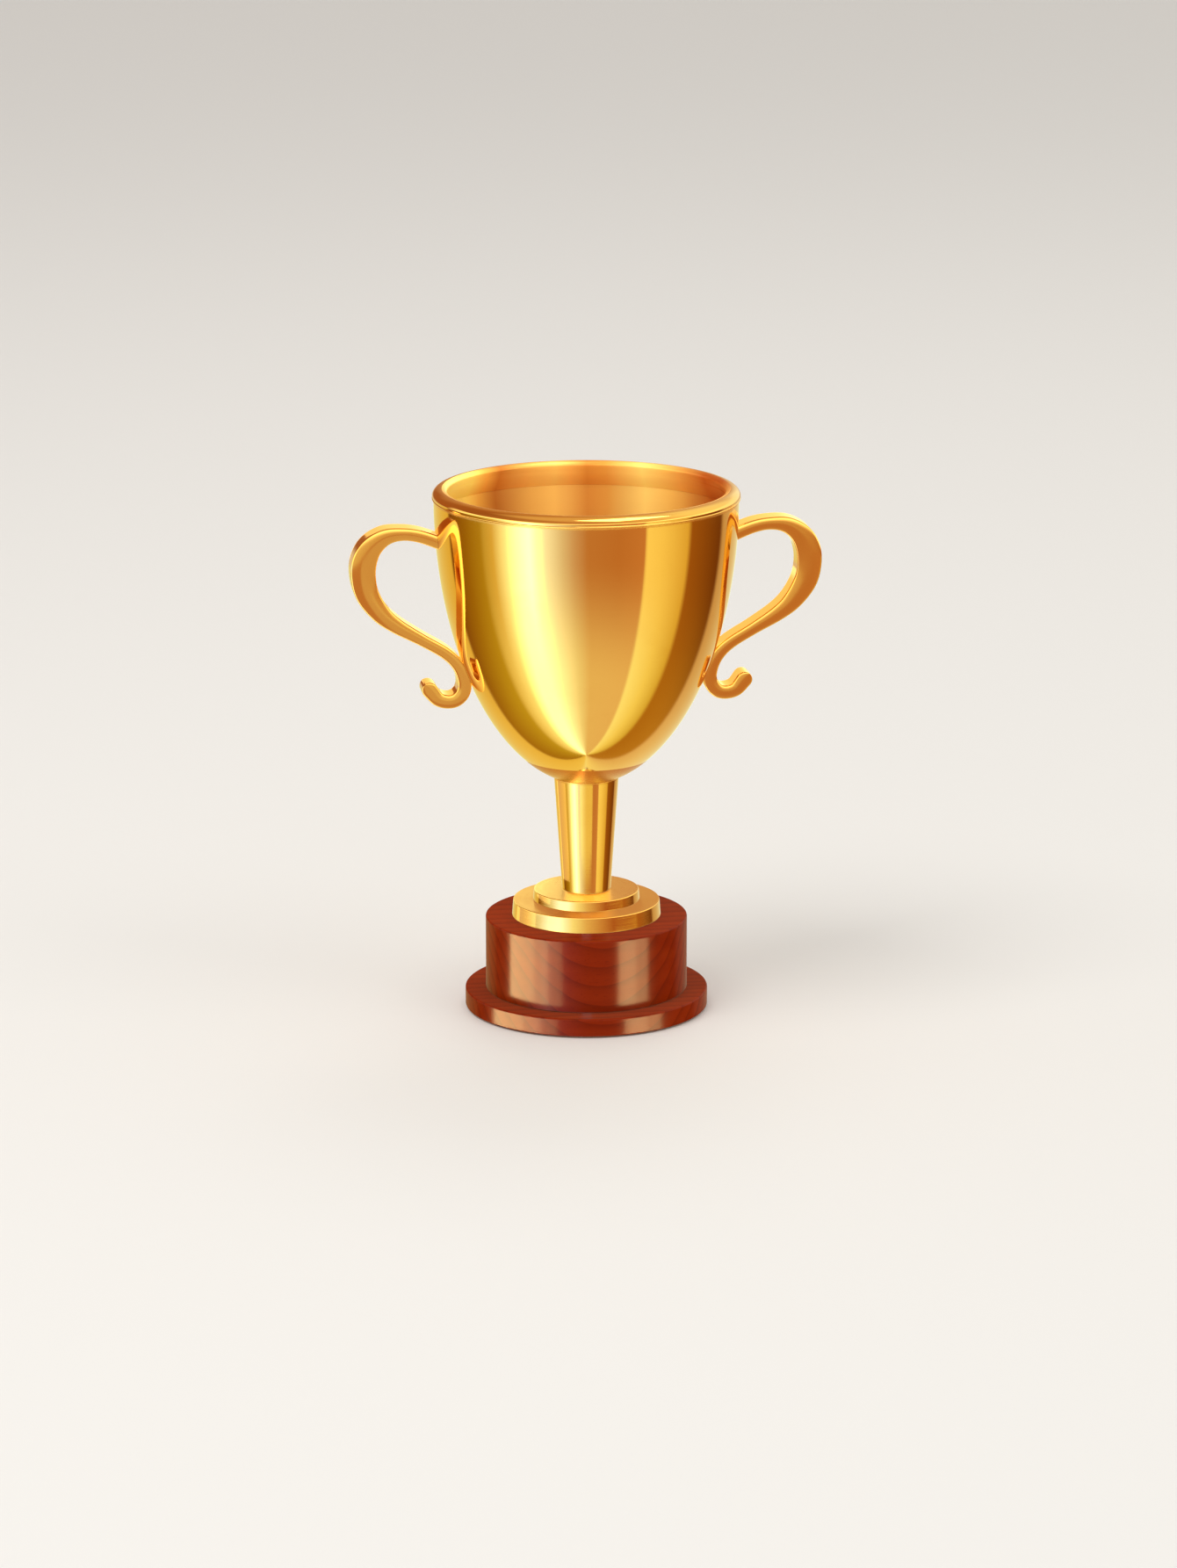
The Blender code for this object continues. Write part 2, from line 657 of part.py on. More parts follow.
def make_rod_hardware(parts, cutters, steel, iron):
    """The rod, and below the ballast a wide washer, a split spring washer and a nut."""
    point = 0.6 * MM
    rod_profile = [
        (0.0, ROD_TOP),
        (ROD_RADIUS - point, ROD_TOP),
        (ROD_RADIUS, ROD_TOP - point),
        (ROD_RADIUS, ROD_BOTTOM + point),
        (ROD_RADIUS - point, ROD_BOTTOM),
        (0.0, ROD_BOTTOM),
    ]
    turned("tie_rod", rod_profile, parts, steel, COARSE, closed=False)
    edge = PLINTH_EDGE
    radius = POCKET_RADIUS - 0.5 * MM
    hole = ROD_RADIUS + 0.5 * MM
    ballast_profile = [
        (radius - edge, BALLAST_TOP),
        (radius, BALLAST_TOP - edge),
        (radius, BALLAST_BOTTOM + edge),
        (radius - edge, BALLAST_BOTTOM),
        (hole, BALLAST_BOTTOM),
        (hole, BALLAST_TOP),
    ]
    turned("ballast_disc", ballast_profile, parts, iron, MEDIUM)
    penny_low = BALLAST_BOTTOM - GAP - PENNY_WASHER_THICKNESS
    ring("penny_washer", PENNY_WASHER_RADIUS, penny_low, PENNY_WASHER_THICKNESS, parts, steel)
    spring_low = penny_low - GAP - SPRING_WASHER_THICKNESS
    spring = ring("spring_washer", SPRING_WASHER_RADIUS, spring_low, SPRING_WASHER_THICKNESS, parts, steel)
    split_size = (SPRING_WASHER_RADIUS, 0.6 * MM, 6 * SPRING_WASHER_THICKNESS)
    split = box_mesh("spring_split", split_size, (SPRING_WASHER_RADIUS, 0, 0))
    split_piece = as_cutter(add_object("spring_split", split, cutters))
    split_piece.location.z = spring_low + SPRING_WASHER_THICKNESS / 2
    split_piece.rotation_euler.x = math.radians(30)
    cut(spring, split_piece)
    nut = hexagon("hex_nut", HEX_NUT_HEIGHT, parts, steel)
    nut.location.z = spring_low - GAP - HEX_NUT_HEIGHT
    nut_hole = as_cutter(
        add_object("hex_nut_hole", cylinder_mesh("hex_nut_hole", ROD_HOLE, -MM, HEX_NUT_HEIGHT + MM, COARSE), cutters)
    )
    nut_hole.location.z = nut.location.z
    cut(nut, nut_hole)


# ---------------------------------------------------------------- assembly


def main():
    clear_scene()
    parts = make_collection("cup_trophy")
    cutters = make_collection("cutters")
    gold = make_material("gold_plate", (0.92, 0.58, 0.14), 0.12, 1.0)
    wood = make_material("mahogany_lacquer", (0.23, 0.045, 0.012), 0.16, 0.0)
    steel = make_material("zinc_steel", (0.62, 0.63, 0.65), 0.35, 1.0)
    iron = make_material("cast_iron", (0.09, 0.09, 0.10), 0.6, 1.0)
    felt = make_material("baize", (0.02, 0.10, 0.045), 0.95, 0.0)

    bowl = make_bowl(parts, gold)
    drill_bowl(bowl, cutters)
    make_rim(parts, gold)
    make_spreader(parts, gold)
    make_dome_nut(parts, cutters, gold)
    make_stem(parts, gold)
    make_upper_disc(parts, gold)
    make_lower_disc(parts, gold)
    make_handles(parts, cutters, gold)
    make_handle_screws(parts, cutters, gold)

    drum = make_drum(parts, wood)
    foot = make_plinth_foot(parts, wood)
    make_wood_screws(parts, cutters, steel, drum, foot)
    make_felt(parts, felt)
    make_rod_hardware(parts, cutters, steel, iron)

    for obj in parts.objects:
        smooth(obj)


main()
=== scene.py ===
"""A two-handled presentation cup on a two-tier turned plinth, in a plain pale studio.

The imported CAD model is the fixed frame. The pieces that show are made again here with fine curves and
crisp edges, in place of their CAD nodes. The hidden ones keep their CAD mesh and get a finish.
"""

import math

import bmesh
import bpy
import numpy as np
from mathutils import Matrix, Vector

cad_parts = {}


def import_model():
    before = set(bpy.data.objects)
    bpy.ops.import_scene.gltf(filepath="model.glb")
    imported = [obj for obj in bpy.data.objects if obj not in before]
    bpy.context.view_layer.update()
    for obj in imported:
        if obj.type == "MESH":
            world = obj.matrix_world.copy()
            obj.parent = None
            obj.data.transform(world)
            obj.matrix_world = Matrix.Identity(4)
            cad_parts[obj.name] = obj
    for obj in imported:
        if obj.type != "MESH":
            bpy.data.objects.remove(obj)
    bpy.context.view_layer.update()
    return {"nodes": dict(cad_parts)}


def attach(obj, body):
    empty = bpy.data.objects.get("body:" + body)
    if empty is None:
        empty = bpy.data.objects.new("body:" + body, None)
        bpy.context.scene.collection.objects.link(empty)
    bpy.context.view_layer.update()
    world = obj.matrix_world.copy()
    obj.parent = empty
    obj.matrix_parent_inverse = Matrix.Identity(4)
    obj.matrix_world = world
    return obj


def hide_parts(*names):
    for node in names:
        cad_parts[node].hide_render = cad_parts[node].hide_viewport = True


MM = 0.001
TAU = 2.0 * math.pi
BODY = "root"

# Facets round a turned piece that shows, and round small hardware.
ROUND = 240
ROUND_SMALL = 72

# ---------------------------------------------------------------- sizes, as in the CAD model

GAP = 0.3 * MM
# What is left between pieces that sit on each other, and how close points have to be to merge.
SEAT_GAP = 0.05 * MM
WELD = 1e-6

BOWL_RADIUS = 85.4 * MM
BOWL_DEPTH = 164.4 * MM
BOWL_WALL = 1.6 * MM
RIM_PLANE = 294.8 * MM
ROD_HOLE = 3.3 * MM

RIM_OUTER = 86.2 * MM
RIM_INNER = 77.6 * MM
RIM_TOP = 300.0 * MM
RIM_FOOT = 294.0 * MM
RIM_CREST = 80.6 * MM
RIM_BEAD = 0.55 * MM
COVE_FOOT = 285.3 * MM

STEM_TOP_RADIUS = 18.3 * MM
STEM_BASE_RADIUS = 13.8 * MM
STEM_WALL = 2.0 * MM

UPPER_DISC_RADIUS = 30.2 * MM
UPPER_DISC_TOP = 68.3 * MM
UPPER_DISC_BOTTOM = 62.5 * MM
LOWER_DISC_RADIUS = 42.2 * MM
LOWER_DISC_TOP = 62.2 * MM
LOWER_DISC_BOTTOM = 53.3 * MM
DISC_DRAFT = math.tan(math.radians(4.0))
# The upper disc's spigots, up into the stem and down into the lower disc.
STEM_SPIGOT_RADIUS = 11.4 * MM
STEM_SPIGOT_HEIGHT = 2.5 * MM
DISC_SPIGOT_RADIUS = 12.0 * MM
DISC_SPIGOT_HEIGHT = 2.0 * MM
# The lower disc's socket for it, and the hollow underneath, round a boss.
SOCKET_RADIUS = 12.4 * MM
SOCKET_FLOOR = 6.9 * MM
HOLLOW_RADIUS = 37.2 * MM
HOLLOW_HEIGHT = 3.6 * MM
BOSS_RADIUS = 10.0 * MM

DRUM_RADIUS = 57.3 * MM
DRUM_TOP = 53.0 * MM
DRUM_BOTTOM = 11.4 * MM
DRUM_BORE = 3.5 * MM
POCKET_RADIUS = 38.0 * MM
POCKET_TOP = 33.0 * MM
FOOT_RADIUS = 69.0 * MM
FOOT_TOP = 11.1 * MM
FOOT_UNDERSIDE = 1.0 * MM
FOOT_BORE = 14.0 * MM
REBATE_RADIUS = 65.4 * MM
REBATE_TOP = 2.0 * MM
FELT_RADIUS = 65.0 * MM
FELT_THICKNESS = 1.7 * MM

HANDLE_DEPTH = 14.0 * MM
HANDLE_CORNER = 0.75 * MM
HANDLE_CROWN = 0.06
HANDLE_FINISHING = 0.08 * MM
HANDLE_STEPS_PER_STATION = 12
SCROLL_TIP_RADIUS = 4.5 * MM
# Stations along the strap's middle line: distance from the axis, height, thickness, in millimetres.
HANDLE_STATIONS = [
    (80.0, 270.8, 7.6),
    (94.5, 276.2, 7.2),
    (105.0, 277.6, 7.4),
    (114.0, 276.0, 9.6),
    (121.4, 270.4, 12.4),
    (125.3, 262.5, 14.0),
    (126.0, 253.5, 14.0),
    (123.7, 243.5, 13.2),
    (116.8, 233.2, 11.0),
    (108.0, 225.8, 8.9),
    (94.3, 217.6, 7.0),
    (80.8, 209.4, 6.8),
    (73.4, 201.8, 7.0),
    (69.9, 193.0, 7.6),
    (70.5, 186.6, 8.0),
    (74.2, 182.4, 8.0),
    (79.2, 181.3, 7.9),
    (84.8, 183.0, 8.2),
    (89.4, 188.2, 9.0),
]

SCREW_HEAD_RADIUS = 2.8 * MM
SCREW_HEAD_HEIGHT = 1.9 * MM
SCREW_SLOT_WIDTH = 0.8 * MM
SCREW_SLOT_DEPTH = 0.9 * MM
SCREW_HEIGHTS = (273.6 * MM, 196.5 * MM)
WASHER_RADIUS = 3.5 * MM
WASHER_THICKNESS = 0.7 * MM
WASHER_STANDOFF = 0.4 * MM

M6_ACROSS_FLATS = 10.0 * MM
SPREADER_RADIUS = 14.0 * MM
SPREADER_TOP = 136.2 * MM
DOME_NUT_HEX_HEIGHT = 5.5 * MM
DOME_NUT_HEIGHT = 12.0 * MM
DOME_RADIUS = 4.75 * MM

# Pieces that are named together below.
DISCS = ["foot_disc_small", "foot_disc_large"]
PLINTH = ["turned_drum", "turned_foot"]
PLINTH_SCREWS = [f"plinth_screw_{i}" for i in range(1, 5)]

# ---------------------------------------------------------------- camera

CAMERA_AZIMUTH = math.radians(-8.6)
CAMERA_DISTANCE = 2.808
CAMERA_HEIGHT = 0.8512
CAMERA_PITCH = math.radians(14.419)
CAMERA_YAW = math.radians(-0.025)
CAMERA_LENS_MM = 117.64


# ---------------------------------------------------------------- node helpers


def add_node(tree, kind, inputs=None, **settings):
    """Adds a node, sets its options and feeds its inputs."""
    node = tree.nodes.new(kind)
    for key, value in settings.items():
        setattr(node, key, value)
    return feed(tree, node, inputs or {})


def feed(tree, node, inputs):
    """Links or sets a node's inputs, by name or number."""
    for key, value in inputs.items():
        socket = node.inputs[key]
        if isinstance(value, bpy.types.NodeSocket):
            tree.links.new(value, socket)
        else:
            socket.default_value = value
    return node


def maths(tree, operation, *values, clamp=False):
    """One Math node. It takes numbers or sockets and returns its output socket."""
    kind = "ShaderNodeMath"
    node = add_node(tree, kind, dict(enumerate(values)), operation=operation, use_clamp=clamp)
    return node.outputs[0]


def plus(tree, first, second, clamp=False):
    return maths(tree, "ADD", first, second, clamp=clamp)


def minus(tree, first, second, clamp=False):
    return maths(tree, "SUBTRACT", first, second, clamp=clamp)


def times(tree, first, second, clamp=False):
    return maths(tree, "MULTIPLY", first, second, clamp=clamp)


def over(tree, first, second):
    return maths(tree, "DIVIDE", first, second)


def noise_at(tree, place, scale, detail, **settings):
    """A noise value between 0 and 1 at a place."""
    settings = {key.capitalize(): value for key, value in settings.items()}
    inputs = {"Vector": place, "Scale": scale, "Detail": detail, **settings}
    return add_node(tree, "ShaderNodeTexNoise", inputs).outputs[0]


def mapped(tree, place, **values):
    """A place scaled, or turned and scaled."""
    settings = {key.capitalize(): value for key, value in values.items()}
    return add_node(tree, "ShaderNodeMapping", {"Vector": place, **settings}).outputs[0]


def combined(tree, x, y, z):
    return add_node(tree, "ShaderNodeCombineXYZ", {0: x, 1: y, 2: z}).outputs[0]


def object_place(tree):
    return add_node(tree, "ShaderNodeTexCoord").outputs["Object"]


def add_bump(tree, shader, height, distance, strength=1.0, into="Normal"):
    inputs = {"Strength": strength, "Distance": distance, "Height": height}
    feed(tree, shader, {into: add_node(tree, "ShaderNodeBump", inputs).outputs[0]})


def blend_colours(tree, factor, first, second):
    inputs = {0: factor, 6: first, 7: second}
    return add_node(tree, "ShaderNodeMix", inputs, data_type="RGBA").outputs[2]


def ramp(tree, factor, stops):
    """A colour ramp with (position, colour) stops."""
    node = add_node(tree, "ShaderNodeValToRGB", {"Fac": factor})
    band = node.color_ramp
    while len(band.elements) > 1:
        band.elements.remove(band.elements[-1])
    band.elements[0].position = stops[0][0]
    band.elements[0].color = stops[0][1]
    for position, colour in stops[1:]:
        band.elements.new(position).color = colour
    return node.outputs["Color"]


def stepped(tree, value, low, high):
    """0 below low, 1 above high and a smooth rise between them."""
    node = add_node(
        tree,
        "ShaderNodeMapRange",
        {"Value": value, "From Min": low, "From Max": high},
        interpolation_type="SMOOTHSTEP",
    )
    return node.outputs["Result"]


def new_group(name, inputs, outputs):
    """A shader group. Inputs are (name, default) and outputs are (name, socket type)."""
    tree = bpy.data.node_groups.new(name, "ShaderNodeTree")
    for label, default in inputs:
        socket = tree.interface.new_socket(label, in_out="INPUT", socket_type="NodeSocketFloat")
        socket.default_value = default
    for label, kind in outputs:
        tree.interface.new_socket(label, in_out="OUTPUT", socket_type=kind)
    return tree, tree.nodes.new("NodeGroupInput"), tree.nodes.new("NodeGroupOutput")


def use_group(tree, group, **values):
    node = tree.nodes.new("ShaderNodeGroup")
    node.node_tree = group
    return feed(tree, node, {key.replace("_", " "): value for key, value in values.items()})


def new_material(name, colour, roughness, metallic):
    """A Principled material with its constants set on the shader's own sockets."""
    material = bpy.data.materials.new(name)
    material.use_nodes = True
    material.diffuse_color = (*colour, 1.0)
    tree = material.node_tree
    constants = {"Base Color": (*colour, 1.0), "Roughness": roughness, "Metallic": metallic}
    return material, tree, feed(tree, tree.nodes["Principled BSDF"], constants)


# ---------------------------------------------------------------- shared surface effects

GOLD = (0.98, 0.60, 0.15)
GOLD_DEEP = (0.80, 0.36, 0.05)
GOLD_PAINTED_SHADE = (0.70, 0.24, 0.025)
INSIDE_GRAIN = 0.24
INSIDE_METAL = 0.45
PAINTED_SHADE_TOP = 146.3 * MM
PAINTED_SHADE_BOTTOM = 131.0 * MM
# The painted reflection streaks are measured from this angle off the Y axis, which is the camera's angle
# round the trophy.
PAINTED_STREAK_TURN = math.radians(-8.6)
# Painted reflection streaks inside the bowl: angle round the axis in degrees, 0 at the back, to the right,
# and colour.
PAINTED_REFLECTION_STREAKS = [
    (-180, (0.80, 0.46, 0.11)),
    (-130, (0.55, 0.24, 0.04)),
    (-100, (0.80, 0.46, 0.11)),
    (-72, (1.00, 0.90, 0.22)),
    (-55, (1.00, 0.76, 0.16)),
    (-47, (0.82, 0.44, 0.07)),
    (-38, (0.52, 0.17, 0.02)),
    (-22, (0.80, 0.44, 0.09)),
    (-13, (0.88, 0.53, 0.12)),
    (0, (0.60, 0.24, 0.035)),
    (8, (0.68, 0.31, 0.05)),
    (24, (1.00, 0.73, 0.19)),
    (36, (0.86, 0.50, 0.11)),
    (46, (0.64, 0.28, 0.05)),
    (58, (0.42, 0.09, 0.008)),
    (76, (0.38, 0.07, 0.005)),
    (100, (0.70, 0.34, 0.06)),
    (140, (0.95, 0.60, 0.16)),
    (180, (0.80, 0.46, 0.11)),
]


def axis_coordinates(tree):
    """Object position, its three parts, and the distance from the Z axis."""
    position = object_place(tree)
    parts = add_node(tree, "ShaderNodeSeparateXYZ", {0: position}).outputs
    squares = [maths(tree, "POWER", part, 2.0) for part in (parts[0], parts[1])]
    return position, parts, maths(tree, "SQRT", plus(tree, *squares))


def make_lathe_marks():
    """Fine rings round the axis, as a polishing mop leaves on a turned or spun piece."""
    tree, given, out = new_group(
        "lathe_marks",
        [("Line Spacing", 0.00035), ("Wander", 0.6)],
        [("Mask", "NodeSocketFloat"), ("Height", "NodeSocketFloat")],
    )
    _, parts, radius = axis_coordinates(tree)
    angle = maths(tree, "ARCTAN2", parts[1], parts[0])
    wander = times(tree, angle, given.outputs["Wander"])
    across = over(tree, radius, given.outputs["Line Spacing"])
    along = over(tree, parts[2], given.outputs["Line Spacing"])
    lines = noise_at(tree, combined(tree, across, along, wander), 1.0, 3.0)
    feed(tree, out, {"Mask": stepped(tree, lines, 0.35, 0.7), "Height": lines})
    return tree


def make_handling():
    """Faint smears and hairline scratches from handling and dusting."""
    tree, given, out = new_group(
        "handling",
        [("Smear Size", 0.03), ("Scratch Size", 0.004)],
        [("Smears", "NodeSocketFloat"), ("Scratches", "NodeSocketFloat")],
    )
    position = object_place(tree)
    smear_scale = over(tree, 1.0, given.outputs["Smear Size"])
    smears = noise_at(tree, position, smear_scale, 4.0, roughness=0.55, distortion=0.6)
    scratch_scale = over(tree, 1.0, given.outputs["Scratch Size"])
    turned = mapped(tree, position, rotation=(0.6, 0.9, 0.3), scale=(1.0, 14.0, 14.0))
    lines = noise_at(tree, turned, scratch_scale, 2.0, distortion=0.2)
    hair = maths(tree, "ABSOLUTE", minus(tree, lines, 0.5))
    scratches = minus(tree, 1.0, stepped(tree, hair, 0.0, 0.012))
    feed(tree, out, {"Smears": stepped(tree, smears, 0.45, 0.75), "Scratches": scratches})
    return tree


def make_seam_shade():
    """Painted shade: 1 in the crevice at a given height, fading away over a given spread, a little uneven.
    """
    tree, given, out = new_group(
        "seam_shade", [("Seam Height", 0.0), ("Spread", 0.002)], [("Shade", "NodeSocketFloat")]
    )
    position, parts, _ = axis_coordinates(tree)
    away = maths(tree, "ABSOLUTE", minus(tree, parts[2], given.outputs["Seam Height"]))
    near = minus(tree, 1.0, over(tree, away, given.outputs["Spread"]), clamp=True)
    unevenness = plus(tree, times(tree, noise_at(tree, position, 90.0, 2.0), 0.4), 0.65)
    feed(tree, out, {"Shade": times(tree, near, unevenness, clamp=True)})
    return tree


def make_wood_figure():
    """Mahogany cut from a plank that runs along X: growth rings, ribbon stripes and open pores."""
    tree, given, out = new_group(
        "wood_figure",
        [("Ring Spacing", 0.006), ("Pore Length", 0.004)],
        [("Rings", "NodeSocketFloat"), ("Ribbon", "NodeSocketFloat"), ("Pores", "NodeSocketFloat")],
    )
    position = object_place(tree)
    drift = noise_at(tree, mapped(tree, position, scale=(2.2, 9.0, 9.0)), 2.0, 3.0)
    parts = add_node(tree, "ShaderNodeSeparateXYZ", {0: position}).outputs
    # The pith lies behind the block and below it.
    pith_y, pith_z = 190.0 * MM, -130.0 * MM
    aside = maths(tree, "POWER", minus(tree, parts[1], pith_y), 2.0)
    below = maths(tree, "POWER", minus(tree, parts[2], pith_z), 2.0)
    distance = maths(tree, "SQRT", plus(tree, aside, below))
    wavy = plus(tree, distance, times(tree, drift, 0.012))
    saw = maths(tree, "FRACT", over(tree, wavy, given.outputs["Ring Spacing"]))
    late = maths(tree, "POWER", saw, 3.0)
    rings = times(tree, late, stepped(tree, saw, 0.0, 0.12))
    ribbon = noise_at(tree, mapped(tree, position, scale=(5.0, 60.0, 110.0)), 1.0, 5.0)
    along = over(tree, parts[0], given.outputs["Pore Length"])
    width = times(tree, given.outputs["Pore Length"], 0.06)
    place = combined(tree, along, over(tree, parts[1], width), over(tree, parts[2], width))
    pores = stepped(tree, noise_at(tree, place, 1.0, 1.0), 0.66, 0.74)
    feed(tree, out, {"Rings": rings, "Ribbon": stepped(tree, ribbon, 0.3, 0.72), "Pores": pores})
    return tree


def make_painted_reflection_streaks():
    """Painted reflection: light and dark streaks that run up the wall of a spun and burnished bowl, by the
    angle round its axis.
    """
    tree, given, out = new_group(
        "satin_sheen", [("Brightness", 1.0), ("Turn", 0.0)], [("Color", "NodeSocketColor")]
    )
    position, parts, _ = axis_coordinates(tree)
    angle = maths(tree, "ARCTAN2", parts[0], parts[1])
    turns = over(tree, plus(tree, angle, given.outputs["Turn"]), TAU)
    share = maths(tree, "FRACT", plus(tree, turns, 0.5))
    wander = minus(tree, noise_at(tree, position, 14.0, 2.0), 0.5)
    share = plus(tree, share, times(tree, wander, 0.01))
    streaks = ramp(tree, share, ring_stops(PAINTED_REFLECTION_STREAKS))
    inputs = {0: streaks, "Scale": given.outputs["Brightness"]}
    lifted = add_node(tree, "ShaderNodeVectorMath", inputs, operation="SCALE")
    feed(tree, out, {"Color": lifted.outputs[0]})
    return tree


EFFECTS = {}


def make_effects():
    EFFECTS["lathe_marks"] = make_lathe_marks()
    EFFECTS["handling"] = make_handling()
    EFFECTS["seam_shade"] = make_seam_shade()
    EFFECTS["wood_figure"] = make_wood_figure()
    EFFECTS["satin_sheen"] = make_painted_reflection_streaks()


# ---------------------------------------------------------------- finishes


def facing(tree):
    """How far a surface faces up, and 1 where it faces the axis."""
    coordinates = add_node(tree, "ShaderNodeTexCoord").outputs
    place, normal = coordinates["Object"], coordinates["Normal"]
    up = add_node(tree, "ShaderNodeSeparateXYZ", {0: normal}).outputs[2]
    flat = add_node(tree, "ShaderNodeVectorMath", {0: place, 1: (1.0, 1.0, 0.0)}, operation="MULTIPLY")
    outward = add_node(
        tree, "ShaderNodeVectorMath", {0: flat.outputs[0], 1: normal}, operation="DOT_PRODUCT"
    )
    return up, maths(tree, "LESS_THAN", outward.outputs["Value"], 0.0)


def gold_finish(
    name, polish, marks, seams, line_spacing=0.35 * MM, top_grain=0.0, inside=0.0, painted_underside_shade=False
):
    """Gold plate over brass: polish is its smoothest roughness, marks how deep the lathe lines are.

    Seams are the crevices that darken with painted shade, as height and spread. Top grain is the roughness
    that surfaces facing up gain. Inside is the brightness of the painted reflection streaks in the satin
    finish on surfaces that face the axis, or 0 for none. The last argument paints a darker orange band
    round the bottom of the bowl: painted shade.
    """
    material, tree, shader = new_material(name, GOLD, polish, 1.0)
    lathe = use_group(tree, EFFECTS["lathe_marks"], Line_Spacing=line_spacing, Wander=0.5)
    handling = use_group(tree, EFFECTS["handling"], Smear_Size=0.035, Scratch_Size=0.006)
    shade = 0.0
    for height, spread in seams:
        seam = use_group(tree, EFFECTS["seam_shade"], Seam_Height=height, Spread=spread)
        shade = maths(tree, "MAXIMUM", shade, seam.outputs["Shade"])
    # Smears are real dirt. The darkening at the seams is painted shade.
    smears = times(tree, handling.outputs["Smears"], 0.10)
    smears_and_seam_shade = plus(tree, smears, times(tree, shade, 0.65), clamp=True)
    colour = blend_colours(tree, smears_and_seam_shade, (*GOLD, 1.0), (*GOLD_DEEP, 1.0))
    rough = polish
    for wear, amount in (
        (lathe.outputs["Mask"], 0.35 * marks),
        (handling.outputs["Smears"], 0.035),
        (handling.outputs["Scratches"], 0.02),
        (shade, 0.25),
    ):
        rough = plus(tree, rough, times(tree, wear, amount))
    up, towards_axis = facing(tree)
    if top_grain:
        rough = plus(tree, rough, times(tree, stepped(tree, up, 0.5, 0.9), top_grain))
    if inside:
        # The inside is burnished to a satin and isn't polished out, and its colour carries painted
        # reflection streaks.
        painted_streaks = use_group(tree, EFFECTS["satin_sheen"], Brightness=inside, Turn=PAINTED_STREAK_TURN)
        colour = blend_colours(tree, towards_axis, colour, painted_streaks.outputs["Color"])
        rough = plus(tree, rough, times(tree, towards_axis, INSIDE_GRAIN))
        satin = minus(tree, 1.0, times(tree, towards_axis, 1.0 - INSIDE_METAL))
        # Spinning marks spread a highlight up and down the wall.
        feed(tree, shader, {"Metallic": satin, "Anisotropic": 0.8, "Anisotropic Rotation": 0.25})
    if painted_underside_shade:
        # Painted shade: a darker orange band, also rougher, with a crisp upper edge, round the bottom of
        # the bowl.
        height = axis_coordinates(tree)[1][2]
        below = minus(tree, 1.0, stepped(tree, height, PAINTED_SHADE_TOP - 0.5 * MM, PAINTED_SHADE_TOP))
        fade = stepped(tree, height, PAINTED_SHADE_BOTTOM, PAINTED_SHADE_TOP - 0.3 * MM)
        outside = minus(tree, 1.0, towards_axis)
        underside_shade_mask = times(tree, times(tree, below, fade), outside)
        colour = blend_colours(tree, underside_shade_mask, colour, (*GOLD_PAINTED_SHADE, 1.0))
        rough = plus(tree, rough, times(tree, times(tree, below, outside), 0.22))
    feed(tree, shader, {"Base Color": colour, "Roughness": rough})
    add_bump(tree, shader, lathe.outputs["Height"], 0.0012 * MM + 0.06 * MM * marks)
    return material


def mahogany_finish():
    """Red-brown stain under a thick gloss lacquer that fills most of the pores."""
    stain = (0.235, 0.0155, 0.001, 1.0)
    dark, light = (0.100, 0.006, 0.001, 1.0), (0.305, 0.027, 0.002, 1.0)
    material, tree, shader = new_material("mahogany_lacquer", stain[:3], 0.38, 0.0)
    figure = use_group(tree, EFFECTS["wood_figure"], Ring_Spacing=0.0065, Pore_Length=0.005)
    colour = blend_colours(tree, times(tree, figure.outputs["Ribbon"], 0.55), stain, light)
    colour = blend_colours(tree, times(tree, figure.outputs["Rings"], 0.5), colour, dark)
    colour = blend_colours(tree, times(tree, figure.outputs["Pores"], 0.7), colour, dark)
    rough = plus(tree, 0.34, times(tree, figure.outputs["Pores"], 0.25))
    feed(tree, shader, {"Base Color": colour, "Roughness": rough, "Specular IOR Level": 0.0})
    feed(tree, shader, {"Coat Weight": 0.3, "Coat Roughness": 0.18, "Coat IOR": 1.45})
    add_bump(tree, shader, times(tree, figure.outputs["Pores"], -1.0), 0.02 * MM, 0.6)
    # The lacquer flows out almost flat, over long shallow waves.
    add_bump(tree, shader, noise_at(tree, object_place(tree), 70.0, 1.0), 0.01 * MM, into="Coat Normal")
    return material


def zinc_finish():
    """Bright zinc plate, with a faint spangle."""
    material, tree, shader = new_material("zinc_steel", (0.60, 0.61, 0.63), 0.32, 1.0)
    cells = {"Vector": object_place(tree), "Scale": 700.0}
    spangle = add_node(tree, "ShaderNodeTexVoronoi", cells).outputs["Color"]
    grey = add_node(tree, "ShaderNodeSeparateColor", {0: spangle}).outputs[0]
    colour = blend_colours(tree, grey, (0.50, 0.52, 0.55, 1.0), (0.68, 0.68, 0.68, 1.0))
    feed(tree, shader, {"Base Color": colour, "Roughness": plus(tree, 0.26, times(tree, grey, 0.2))})
    return material


def iron_finish():
    """Dark cast iron, with the sand's texture in its skin."""
    material, tree, shader = new_material("cast_iron", (0.09, 0.09, 0.10), 0.6, 0.9)
    skin = noise_at(tree, object_place(tree), 900.0, 4.0)
    colour = blend_colours(tree, skin, (0.05, 0.05, 0.055, 1.0), (0.15, 0.14, 0.14, 1.0))
    feed(tree, shader, {"Base Color": colour, "Roughness": plus(tree, 0.45, times(tree, skin, 0.3))})
    add_bump(tree, shader, skin, 0.1 * MM, 0.7)
    return material


